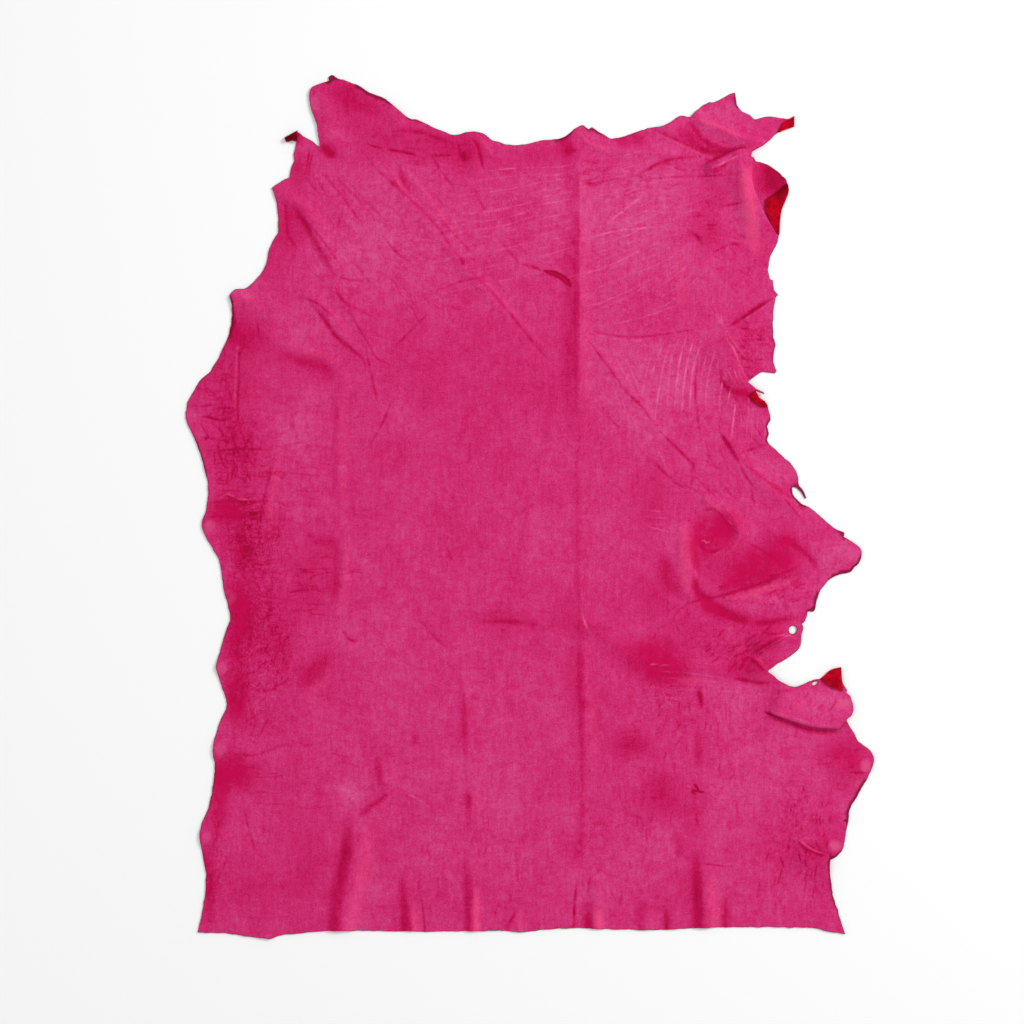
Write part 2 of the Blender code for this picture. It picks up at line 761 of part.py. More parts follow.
# Seams share their points between two regions.
tongue_top = stretch("tongue", TONGUE_TOP)
seam_tongue = seam(tongue_low[0], SEAM_TONGUE, tongue_top[-1])
seam_ear = seam(ear_up[0], SEAM_EAR, top_side[0])
seam_throat = seam(throat_up[0], SEAM_THROAT, neck_side[0])
seam_lobe = seam(lobe_up[-1], SEAM_LOBE, belly_side[0])
seam_dart = seam(dart_up[0], SEAM_DART, leg_side[0])

body = tab_top + tab_rim + left_side + foot_side + dart_up[::-1] + seam_dart[1:]
body += leg_side[1:] + tongue_low[::-1] + seam_tongue[1:] + foot_up[::-1] + lobe_up[1:]
body += seam_lobe[1:] + belly_side[1:] + throat_rim + thread + throat_up[::-1]
body += seam_throat[1:] + neck_side[1:] + roll_up[::-1] + ear_up[::-1]
body += seam_ear[1:] + top_side[1:]
fill("body", body, [ring_of("body", HOLES[0], 12)])

tongue = tongue_up + stretch("tongue", TONGUE_END) + tongue_rim + tongue_top
tongue += seam_tongue[::-1][1:-1]
fill("tongue", tongue, [ring_of("tongue", HOLES[1], 8)])

lobe = foot_low + stretch("lobe", LOBE, last=False) + seam_lobe[::-1][:-1] + lobe_low[::-1][:-1]
fill("lobe", lobe)
leg = dart_low + stretch("leg", BELOW_DART, last=False) + seam_dart[::-1][:-1]
fill("leg", leg)
throat = throat_low + stretch("throat", THROAT_FLAP, last=False) + seam_throat[::-1][:-1]
fill("throat", throat)
flap = roll_low + roll_rim + stretch("flap", ROLLED_FLAP)
fill("flap", flap)
ear = ear_low + stretch("ear", EAR_UNDER) + ear_rim + stretch("ear", EAR_TOP, last=False)
ear += seam_ear[::-1][:-1]
fill("ear", ear)


# Give the sheet its thickness: the grain side half out, the flesh side half in, a cut rim.
def solid(middle, triangles, thickness):
    spots = np.array(middle)
    tris = np.array(triangles)
    normals = np.zeros_like(spots)
    for k in range(3):
        here, ahead, behind = (spots[tris[:, (k + j) % 3]] for j in (0, 1, 2))
        one, two = ahead - here, behind - here
        one = one / np.linalg.norm(one, axis=1)[:, None]
        two = two / np.linalg.norm(two, axis=1)[:, None]
        wide = np.arccos(np.clip((one * two).sum(1), -1, 1))
        out = np.cross(one, two)
        out = out / np.maximum(np.linalg.norm(out, axis=1), 1e-12)[:, None]
        np.add.at(normals, tris[:, k], out * wide[:, None])
    normals /= np.maximum(np.linalg.norm(normals, axis=1), 1e-12)[:, None]
    used = np.unique(tris)
    renumber = {int(old): new for new, old in enumerate(used)}
    count = len(used)
    grain = spots[used] + normals[used] * thickness / 2
    flesh = spots[used] - normals[used] * thickness / 2
    skin = [tuple(renumber[int(v)] for v in tri) for tri in tris]
    shell = list(skin)
    shell += [(c + count, b + count, a + count) for a, b, c in skin]
    sides = {}
    for a, b, c in skin:
        for pair in ((a, b), (b, c), (c, a)):
            sides[pair] = True
    for a, b in sides:
        if (b, a) not in sides:
            shell.append((b, a, a + count))
            shell.append((b, a + count, b + count))
    return np.concatenate([grain, flesh]), shell


corners, shell = solid(points, faces, THICKNESS)
middle_across = (corners[:, 0].min() + corners[:, 0].max()) / 2
middle_up = (corners[:, 1].min() + corners[:, 1].max()) / 2
corners -= np.array([middle_across, middle_up, corners[:, 2].min()])

mesh = bpy.data.meshes.new("hide")
mesh.from_pydata([tuple(c) for c in corners], [], shell)
mesh.update()
hide = bpy.data.objects.new("hide", mesh)
bpy.context.scene.collection.objects.link(hide)

leather = bpy.data.materials.new("fuchsia leather")
leather.use_nodes = True
skin = leather.node_tree.nodes["Principled BSDF"]
skin.inputs["Base Color"].default_value = (0.58, 0.03, 0.14, 1.0)
skin.inputs["Roughness"].default_value = 0.72
mesh.materials.append(leather)
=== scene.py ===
# A dyed leather hide laid grain side up on a pale floor, seen from straight above.
# The hide is one piece: a vegetable-tanned double shoulder, dried stretched in clamps,
# with pressed-over folds, torn places and turned-over rims. Lengths are in metres.
import math

import bpy
import numpy as np
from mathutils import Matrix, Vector
from mathutils.geometry import delaunay_2d_cdt


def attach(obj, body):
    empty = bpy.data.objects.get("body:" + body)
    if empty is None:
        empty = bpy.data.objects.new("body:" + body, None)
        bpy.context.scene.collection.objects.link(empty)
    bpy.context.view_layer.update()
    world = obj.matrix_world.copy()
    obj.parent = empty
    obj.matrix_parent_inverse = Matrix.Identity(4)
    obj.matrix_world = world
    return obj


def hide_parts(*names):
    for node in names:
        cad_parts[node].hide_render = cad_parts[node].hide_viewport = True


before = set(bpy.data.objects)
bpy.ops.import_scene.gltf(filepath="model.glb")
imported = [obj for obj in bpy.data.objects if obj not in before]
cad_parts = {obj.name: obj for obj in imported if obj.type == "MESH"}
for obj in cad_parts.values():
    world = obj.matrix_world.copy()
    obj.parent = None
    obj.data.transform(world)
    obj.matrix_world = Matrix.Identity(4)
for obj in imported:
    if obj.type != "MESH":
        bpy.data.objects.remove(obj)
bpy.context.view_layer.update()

# The floor, the studio light and the camera.
# The floor is plain pale board. A large soft light stands to the upper right, with a weaker
# one on the left, and the camera hangs straight above the middle of the picture.
SQUARE = 1.10 / 688
PICTURE_SQUARES = 1024
MIDDLE_ACROSS, MIDDLE_DOWN = 529.5, 506.7
LENS, SENSOR = 85.0, 36.0
FLOOR_REACH = 40.0
FLOOR_DROP = 0.0004
KEY_WATTS, FILL_WATTS = 230, 16
ROOM_LIGHT = 0.64
GRAIN_LEVEL = 0.002
BOARD_TONE = 0.93


def place(across, down):
    """A place given in squares of the grid ruled over the laid hide, in metres."""
    return ((across - MIDDLE_ACROSS) * SQUARE, (MIDDLE_DOWN - down) * SQUARE)


def soft_light(name, where, target, width, watts):
    """A square soft box, aimed at a place."""
    lamp = bpy.data.lights.new(name, "AREA")
    lamp.shape = "SQUARE"
    lamp.size = width
    lamp.energy = watts
    holder = bpy.data.objects.new(name, lamp)
    holder.location = where
    aim = Vector(target) - Vector(where)
    holder.rotation_euler = aim.to_track_quat("-Z", "Y").to_euler()
    bpy.context.scene.collection.objects.link(holder)


soft_light("key_light", (4.3, 2.5, 3.5), (0, 0, 0), 2.0, KEY_WATTS)
soft_light("fill_light", (-2.2, -0.8, 3.2), (0, 0, 0), 2.6, FILL_WATTS)

room = bpy.data.worlds.new("studio")
bpy.context.scene.world = room
room.use_nodes = True
room.node_tree.nodes["Background"].inputs["Color"].default_value = (1.0, 1.0, 1.0, 1.0)
room.node_tree.nodes["Background"].inputs["Strength"].default_value = ROOM_LIGHT
bpy.context.scene.view_settings.view_transform = "Standard"

floor_mesh = bpy.data.meshes.new("floor")
corners = [(-FLOOR_REACH, -FLOOR_REACH), (FLOOR_REACH, -FLOOR_REACH),
           (FLOOR_REACH, FLOOR_REACH), (-FLOOR_REACH, FLOOR_REACH)]
floor_mesh.from_pydata([(x, y, -FLOOR_DROP) for x, y in corners], [], [(0, 1, 2, 3)])
floor = bpy.data.objects.new("floor", floor_mesh)
bpy.context.scene.collection.objects.link(floor)
board = bpy.data.materials.new("pale board")
board.use_nodes = True
board_shader = board.node_tree.nodes["Principled BSDF"]
board_shader.inputs["Base Color"].default_value = (BOARD_TONE, BOARD_TONE, BOARD_TONE, 1)
board_shader.inputs["Roughness"].default_value = 0.8
floor_mesh.materials.append(board)

picture_middle = place(PICTURE_SQUARES / 2, PICTURE_SQUARES / 2)
camera_height = PICTURE_SQUARES * SQUARE / 2 / (SENSOR / 2 / LENS)
camera_data = bpy.data.cameras.new("camera")
camera_data.lens = LENS
camera_data.sensor_width = SENSOR
camera_data.clip_end = 60
camera = bpy.data.objects.new("camera", camera_data)
camera.location = (picture_middle[0], picture_middle[1], camera_height + GRAIN_LEVEL)
bpy.context.scene.collection.objects.link(camera)
bpy.context.scene.camera = camera

# The hide. It is one skin, split to 2 mm, tanned with bark and dyed right through, then dried
# in a frame whose clamps left the scallops and pale marks. Nothing is sewn or fixed to it.
THICKNESS = 0.0020
PRESSED_BEND = 0.0016
FLAT_HEIGHT = THICKNESS / 2

# How much of each swell's and crease's relief, and of a crease's tone, is left once it is laid
SWELL_RELIEF = 0.85
SWELL_WIDTH = 1.2
CREASE_RELIEF = 0.9
CREASE_TONE = 1.15

# How closely the shape is followed
EDGE_SPACING = 0.0045
FOLD_SPACING = 0.0036
OPEN_SPACING = 0.0100
LINE_SPACING = 0.0056
BEND_STEPS = 6

# The edge, anticlockwise from the notch beside the neck, in named stretches.
# Columns: across, down, kind ("c" a sharp corner, "r" the edge runs round through the place).
TORN_TAB = (
    (319.5, 147.0, "c"),
    (313.0, 142.0, "r"),
    (305.0, 137.0, "r"),
    (297.6, 131.0, "c"),
)
TORN_TAB_FOOT = (
    (287.0, 142.0, "c"),
    (292.0, 140.5, "r"),
    (296.0, 142.0, "c"),
    (295.3, 148.6, "r"),
    (293.3, 154.5, "r"),
    (294.0, 161.0, "r"),
    (291.0, 168.0, "r"),
    (289.5, 177.5, "c"),
    (284.0, 179.5, "r"),
    (271.5, 188.0, "c"),
)
LEFT_SHOULDER = (
    (271.5, 188.0, "c"),
    (275.3, 198.0, "r"),
    (277.3, 210.0, "r"),
    (278.4, 233.0, "c"),
    (273.0, 241.0, "r"),
    (269.0, 249.0, "r"),
    (267.3, 258.0, "r"),
    (263.0, 270.5, "r"),
    (250.5, 285.0, "r"),
    (245.5, 288.2, "r"),
    (234.5, 289.3, "c"),
    (229.6, 295.5, "c"),
    (232.0, 308.0, "r"),
    (231.5, 323.0, "c"),
    (226.5, 340.5, "r"),
    (211.0, 370.0, "r"),
    (200.7, 380.0, "r"),
    (188.7, 400.0, "r"),
    (185.5, 412.0, "r"),
)
LEFT_BELLY = (
    (185.5, 412.0, "r"),
    (186.3, 421.0, "r"),
    (195.0, 440.0, "r"),
    (202.0, 460.0, "r"),
    (208.0, 487.0, "r"),
    (206.5, 508.0, "r"),
    (202.2, 522.0, "r"),
    (202.8, 531.0, "r"),
    (213.5, 550.0, "r"),
    (219.0, 560.0, "r"),
    (223.8, 590.0, "r"),
    (230.0, 618.0, "r"),
    (226.2, 630.0, "r"),
    (217.4, 660.0, "r"),
    (216.3, 669.0, "r"),
    (219.7, 680.0, "r"),
    (226.5, 704.0, "r"),
    (220.5, 720.0, "r"),
    (212.7, 748.0, "r"),
    (214.8, 766.0, "r"),
    (210.5, 800.0, "r"),
    (200.0, 830.0, "r"),
    (200.3, 843.0, "r"),
    (205.0, 869.0, "r"),
    (205.3, 892.0, "r"),
    (202.5, 910.0, "r"),
    (197.6, 932.4, "c"),
)
CUT_FOOT = (
    (197.6, 932.4, "c"),
    (222.0, 933.3, "r"),
    (262.0, 938.2, "r"),
    (271.5, 938.4, "r"),
    (284.0, 935.0, "r"),
    (330.0, 931.0, "r"),
    (427.0, 931.7, "r"),
    (500.0, 930.8, "r"),
    (521.0, 932.0, "r"),
    (565.0, 928.4, "r"),
    (605.0, 929.0, "r"),
    (651.0, 930.0, "r"),
    (723.0, 927.3, "r"),
    (812.0, 928.0, "r"),
    (829.0, 931.4, "r"),
    (845.5, 934.2, "c"),
)
RIGHT_FOOT = (
    (845.5, 934.2, "c"),
    (840.3, 920.0, "r"),
    (831.7, 887.0, "r"),
    (829.5, 869.0, "r"),
    (829.7, 861.0, "c"),
)
BELOW_DART = (
    (832.5, 859.0, "r"),
    (838.5, 855.0, "r"),
    (843.3, 848.0, "r"),
    (846.0, 833.0, "r"),
    (848.6, 819.3, "r"),
)
RIGHT_LEG = (
    (848.6, 819.3, "r"),
    (850.3, 808.5, "r"),
    (861.0, 790.0, "r"),
    (870.3, 772.0, "r"),
    (873.8, 762.0, "r"),
    (871.3, 752.0, "r"),
    (859.0, 741.5, "r"),
    (852.0, 730.0, "r"),
    (846.5, 720.4, "r"),
)
TONGUE_END = (
    (843.8, 722.5, "r"),
    (846.4, 719.0, "c"),
    (851.0, 715.3, "r"),
    (853.5, 709.0, "r"),
    (850.5, 697.0, "r"),
    (846.5, 692.5, "c"),
    (847.0, 690.0, "c"),
    (842.8, 682.5, "r"),
    (841.0, 673.5, "r"),
)
TONGUE_TOP = (
    (814.0, 679.6, "r"),
    (800.0, 685.6, "r"),
    (795.0, 686.8, "r"),
    (785.0, 684.3, "r"),
    (772.0, 674.5, "c"),
)
LOBE = (
    (769.2, 669.6, "r"),
    (776.0, 665.0, "r"),
    (790.0, 656.5, "r"),
    (797.5, 650.0, "r"),
    (800.6, 644.5, "r"),
    (801.4, 637.0, "r"),
)
RIGHT_BELLY = (
    (801.4, 637.0, "r"),
    (803.6, 628.6, "r"),
    (801.6, 624.0, "c"),
    (804.9, 621.3, "r"),
    (807.8, 611.0, "c"),
    (813.8, 611.2, "r"),
    (817.0, 600.0, "r"),
    (820.3, 590.5, "r"),
    (831.0, 579.0, "r"),
    (840.0, 574.2, "r"),
    (849.3, 572.8, "r"),
    (853.0, 569.5, "r"),
    (860.5, 559.0, "r"),
    (859.8, 548.3, "r"),
    (843.6, 536.8, "c"),
    (844.4, 532.8, "r"),
    (840.5, 531.2, "c"),
    (833.0, 527.2, "r"),
    (810.0, 507.8, "r"),
    (801.3, 503.3, "r"),
    (793.2, 495.0, "r"),
    (792.2, 487.2, "c"),
    (797.0, 488.0, "r"),
    (802.4, 494.0, "r"),
    (804.8, 498.8, "c"),
    (806.8, 498.0, "c"),
    (803.0, 490.5, "r"),
    (798.5, 484.0, "r"),
    (797.4, 474.0, "r"),
    (791.0, 464.0, "r"),
    (780.0, 454.0, "r"),
    (769.4, 444.5, "c"),
    (767.2, 439.8, "r"),
    (768.8, 434.0, "r"),
    (767.8, 426.5, "r"),
    (770.3, 420.0, "r"),
    (768.0, 407.5, "c"),
)
THREAD_END = (
    (755.2, 390.6, "c"),
    (763.6, 394.6, "c"),
    (764.6, 393.0, "c"),
    (753.2, 387.3, "r"),
    (749.4, 383.6, "r"),
)
THROAT_FLAP = (
    (749.0, 380.7, "r"),
    (755.5, 376.0, "r"),
    (762.5, 372.0, "r"),
    (775.0, 373.3, "c"),
    (776.6, 371.0, "c"),
    (773.8, 362.0, "r"),
    (774.0, 352.0, "r"),
    (775.6, 345.0, "r"),
    (773.1, 337.0, "r"),
    (773.6, 311.0, "r"),
    (775.8, 297.0, "c"),
)
RIGHT_NECK = (
    (775.8, 297.0, "c"),
    (778.5, 295.0, "c"),
    (774.2, 289.5, "r"),
    (772.8, 280.2, "c"),
    (770.0, 279.0, "r"),
    (768.1, 269.0, "r"),
    (770.3, 257.0, "r"),
    (775.5, 246.5, "r"),
    (778.8, 236.5, "c"),
)
ROLLED_FLAP = (
    (786.2, 179.3, "r"),
    (780.5, 173.8, "r"),
    (771.0, 167.0, "r"),
    (765.0, 163.7, "r"),
    (756.0, 161.3, "r"),
)
EAR_UNDER = (
    (760.5, 147.0, "r"),
    (769.5, 140.5, "r"),
    (774.5, 135.0, "r"),
)
EAR_TOP = (
    (788.5, 119.0, "r"),
    (780.0, 117.7, "r"),
    (768.0, 116.8, "r"),
    (754.5, 119.0, "r"),
    (750.0, 115.0, "r"),
    (742.0, 111.0, "r"),
    (737.0, 105.0, "c"),
    (735.0, 92.6, "c"),
    (729.5, 94.2, "r"),
    (713.0, 102.6, "r"),
    (709.0, 102.2, "r"),
    (700.0, 108.2, "r"),
    (689.8, 117.3, "c"),
)
NECK = (
    (689.8, 117.3, "c"),
    (681.0, 115.9, "r"),
    (671.0, 122.0, "r"),
    (663.0, 126.0, "r"),
    (650.0, 127.8, "r"),
    (612.5, 138.5, "r"),
    (602.0, 133.6, "r"),
    (592.0, 127.3, "c"),
    (588.5, 129.8, "c"),
    (581.0, 125.2, "r"),
    (562.0, 138.0, "r"),
    (543.0, 140.0, "r"),
    (517.0, 145.3, "r"),
    (492.0, 140.0, "r"),
    (482.0, 132.8, "r"),
    (466.0, 132.3, "r"),
    (453.0, 134.8, "r"),
    (417.0, 119.6, "r"),
    (409.5, 118.6, "r"),
    (391.0, 103.5, "r"),
    (384.0, 98.0, "r"),
    (369.0, 92.4, "r"),
    (361.0, 87.0, "r"),
    (343.5, 79.6, "r"),
    (338.0, 78.6, "c"),
    (332.0, 75.0, "r"),
    (328.3, 77.3, "c"),
    (329.0, 80.5, "c"),
    (319.0, 83.8, "r"),
    (311.0, 88.8, "r"),
    (309.5, 98.0, "r"),
    (311.5, 111.0, "r"),
    (317.0, 125.0, "r"),
    (319.5, 147.0, "c"),
)

# The seven pressed-over folds. Each visible fold edge is a row of places from where the fold
# starts to the rim. The leather on one side lies on top, turns under at the edge, runs back
# and turns again into the lower side. Shape columns: share of the length, turn in degrees,
# leather between the two turns in mm. The lower side is +1 for the left when walking along.
FOLDS = {
    "tongue": dict(
        lower=-1, bend=0.0019, reach=0.085,
        edge=((764.0, 711.2), (780.6, 717.0), (796.0, 721.6), (811.0, 726.2), (840.3, 728.6)),
        shape=((0.0, 0, 0.0), (0.1, 110, 0.5), (0.22, 180, 3.0), (0.5, 180, 8.0), (1.0, 180, 13.0)),
    ),
    "roll": dict(
        lower=1, bend=0.0022, reach=0.050,
        edge=((751.9, 157.0), (751.2, 170.0), (752.0, 185.0), (758.0, 201.0), (766.5, 219.5),
              (778.8, 236.5)),
        shape=((0.0, 80, 1.5), (0.25, 100, 4.0), (0.5, 115, 5.0), (0.8, 125, 3.0), (1.0, 0, 0.0)),
    ),
    "ear": dict(
        lower=1, bend=PRESSED_BEND, reach=0.060,
        edge=((700.0, 165.0), (709.0, 162.5), (720.0, 158.5), (730.0, 153.4), (741.0, 149.8),
              (751.8, 152.6)),
        shape=((0.0, 0, 0.0), (0.15, 130, 0.3), (0.35, 180, 3.0), (0.6, 180, 4.5), (0.8, 120, 1.0),
               (1.0, 70, 0.8)),
    ),
    "throat": dict(
        lower=1, bend=PRESSED_BEND, reach=0.065,
        edge=((724.0, 331.5), (732.0, 349.0), (741.0, 369.5), (748.5, 381.8)),
        shape=((0.0, 0, 0.0), (0.15, 120, 0.5), (0.4, 180, 3.0), (1.0, 180, 9.0)),
    ),
    "lobe top": dict(
        lower=-1, bend=PRESSED_BEND, reach=0.045,
        edge=((752.5, 656.5), (760.0, 652.0), (768.0, 647.0), (779.0, 640.5), (788.0, 637.2)),
        shape=((0.0, 0, 0.0), (0.2, 120, 0.5), (0.5, 180, 2.5), (0.75, 140, 1.0), (1.0, 0, 0.0)),
    ),
    "lobe foot": dict(
        lower=1, bend=PRESSED_BEND, reach=0.045,
        edge=((752.5, 656.5), (757.2, 660.3), (763.0, 665.6), (768.3, 670.8)),
        shape=((0.0, 0, 0.0), (0.25, 130, 0.5), (0.6, 180, 4.0), (1.0, 180, 7.0)),
    ),
    "dart": dict(
        lower=1, bend=PRESSED_BEND, reach=0.065,
        edge=((799.5, 840.0), (810.0, 847.2), (820.0, 852.3), (831.3, 855.5)),
        shape=((0.0, 0, 0.0), (0.2, 120, 0.5), (0.5, 180, 3.0), (1.0, 180, 6.0)),
    ),
}

# Where the rim has turned over and shows its flesh side.
# Columns: across and down on the turned edge, across and down on the free rim over the hide.
TURNED_TAB = (
    (297.6, 131.0, 297.0, 142.0),
    (291.5, 134.4, 291.5, 140.6),
    (284.5, 138.3, 286.2, 142.2),
)
TURNED_TONGUE = (
    (841.0, 667.6, 842.6, 690.8),
    (831.0, 670.2, 833.0, 688.2),
    (825.5, 675.0, 828.0, 685.2),
    (820.5, 679.0, 820.5, 679.0),
)
TURNED_THROAT = (
    (768.0, 407.5, 768.0, 407.5),
    (765.0, 402.5, 760.0, 406.0),
    (758.5, 397.5, 753.0, 401.5),
    (755.4, 391.8, 749.5, 394.5),
    (755.2, 390.6, 755.2, 390.6),
)
TURNED_ROLL = (
    (779.0, 235.0, 779.0, 235.0),
    (779.2, 227.0, 772.8, 227.0),
    (780.2, 215.0, 767.5, 215.0),
    (781.6, 208.5, 765.0, 207.0),
    (785.0, 200.5, 765.5, 199.6),
    (788.2, 191.0, 777.5, 191.5),
    (787.2, 183.0, 787.2, 183.0),
)
TURNED_EAR = (
    (777.5, 132.5, 777.5, 132.5),
    (785.0, 129.3, 783.0, 122.5),
    (794.0, 126.3, 794.3, 116.0),
)

# Seams of the layout: ordinary places inside the sheet where two of its regions meet.
SEAM_TONGUE = ((764.0, 711.2), (766.6, 692.4), (772.0, 674.5))
SEAM_EAR = ((700.0, 165.0), (696.4, 140.6), (689.8, 117.3))
SEAM_THROAT = ((724.0, 331.5), (748.0, 313.5), (775.8, 297.0))
SEAM_LOBE = ((788.0, 637.2), (794.8, 636.2), (801.4, 637.0))
SEAM_DART = ((799.5, 840.0), (823.4, 827.9), (848.6, 819.3))

# Holes. Columns: across, down, half length, half width, lean in degrees.
HOLES = (
    (792.8, 629.8, 4.3, 3.9, 60.0),
    (814.9, 683.2, 3.3, 1.7, 25.0),
)

# Soft folds of the dried skin, each with its crest along a row of places. Each fades out at
# both ends.
# Columns: height in mm, half width in squares, places.
SWELLS = (
    (4.6, 15, ((336, 975), (343, 905), (350, 870), (355, 842), (361, 816), (377, 803))),
    (2.0, 12, ((361, 816), (380, 800), (385, 785), (379, 755))),
    (1.8, 13, ((581, 112), (579.5, 200), (579, 300), (579, 400), (580, 480))),
    (1.2, 12, ((578, 560), (582, 620), (583, 700), (586, 760), (587, 830))),
    (3.0, 10, ((596, 975), (595, 900), (591, 860))),
    (2.3, 9, ((472, 975), (472, 880), (470, 840))),
    (1.1, 8, ((462, 660), (467, 730), (473, 790), (473, 830))),
    (1.9, 8, ((411, 975), (410, 910), (407, 880))),
    (3.4, 12, ((705, 975), (705, 890), (706, 845))),
    (1.6, 8, ((512, 975), (520, 900))),
    (1.3, 9, ((646, 975), (648, 885))),
    (1.6, 8, ((678, 975), (671, 890))),
    (2.0, 10, ((268, 952), (262, 880))),
    (3.6, 10, ((268, 186), (296, 203), (320, 238), (333, 262), (352, 282))),
    (2.8, 9, ((298, 286), (316, 302), (333, 322), (350, 344), (370, 368))),
    (2.0, 8, ((333, 276), (345, 303), (370, 318), (396, 322))),
    (1.8, 8, ((344, 296), (358, 328), (372, 350), (382, 368))),
    (3.5, 16, ((314, 80), (322, 110), (330, 130), (352, 148))),
    (2.6, 11, ((394, 96), (400, 130), (404, 150))),
    (2.0, 8, ((470, 120), (472, 145), (474, 178))),
    (2.4, 7, ((578, 126), (594, 144), (614, 149), (652, 151), (698, 155))),
    (4.6, 9, ((684, 112), (712, 124), (742, 138), (770, 147))),
    (3.0, 12, ((652, 118), (668, 130), (688, 141))),
    (2.2, 8, ((632, 182), (665, 165), (700, 158), (738, 160))),
    (2.6, 9, ((742, 160), (746, 195), (752, 236))),
    (1.6, 8, ((700, 262), (712, 236), (722, 205), (720, 176))),
    (2.2, 9, ((722, 345), (745, 326), (772, 309))),
    (2.4, 11, ((722, 430), (738, 452), (756, 480), (800, 512))),
    (3.4, 12, ((683, 520), (688, 560), (688, 590), (694, 612))),
    (2.8, 10, ((694, 500), (716, 503), (738, 528), (745, 550))),
    (2.8, 11, ((690, 590), (724, 588), (765, 575), (812, 556))),
    (3.0, 12, ((716, 606), (752, 604), (790, 598), (824, 588))),
    (3.2, 15, ((868, 552), (840, 556), (806, 562))),
    (2.4, 10, ((700, 648), (736, 640), (772, 626))),
    (2.2, 10, ((660, 668), (705, 668), (740, 672))),
    (3.4, 15, ((882, 764), (855, 768), (822, 776))),
    (2.6, 12, ((792, 832), (812, 842), (838, 846))),
    (3.0, 13, ((188, 408), (215, 406), (248, 404))),
    (2.4, 12, ((200, 524), (226, 522), (256, 520))),
    (2.4, 12, ((208, 668), (236, 666), (264, 664))),
    (2.4, 12, ((204, 748), (232, 750), (260, 752))),
    (2.4, 12, ((190, 836), (216, 839), (242, 842))),
    (3.2, 14, ((222, 296), (250, 303), (290, 318))),
    (1.6, 11, ((276, 440), (268, 500), (256, 552))),
    (1.5, 11, ((345, 536), (343, 590), (338, 624))),
    (1.6, 12, ((292, 704), (312, 684), (336, 652))),
    (1.9, 8, ((362, 148), (398, 188), (430, 226), (470, 274), (520, 330), (556, 362))),
    (1.6, 8, ((588, 342), (616, 376), (650, 420), (694, 470))),
    (1.5, 7, ((396, 160), (420, 192), (446, 230), (476, 262))),
    (1.4, 7, ((300, 172), (330, 194), (352, 220))),
    (1.8, 9, ((283, 338), (308, 349), (334, 360), (341, 384), (341, 440), (342, 520))),
    (1.3, 8, ((545, 604), (590, 630), (640, 660), (690, 690))),
    (1.4, 7, ((722, 506), (735, 520), (738, 535), (731, 549), (716, 556))),
    (1.6, 8, ((742, 462), (764, 482), (790, 506), (816, 536))),
)

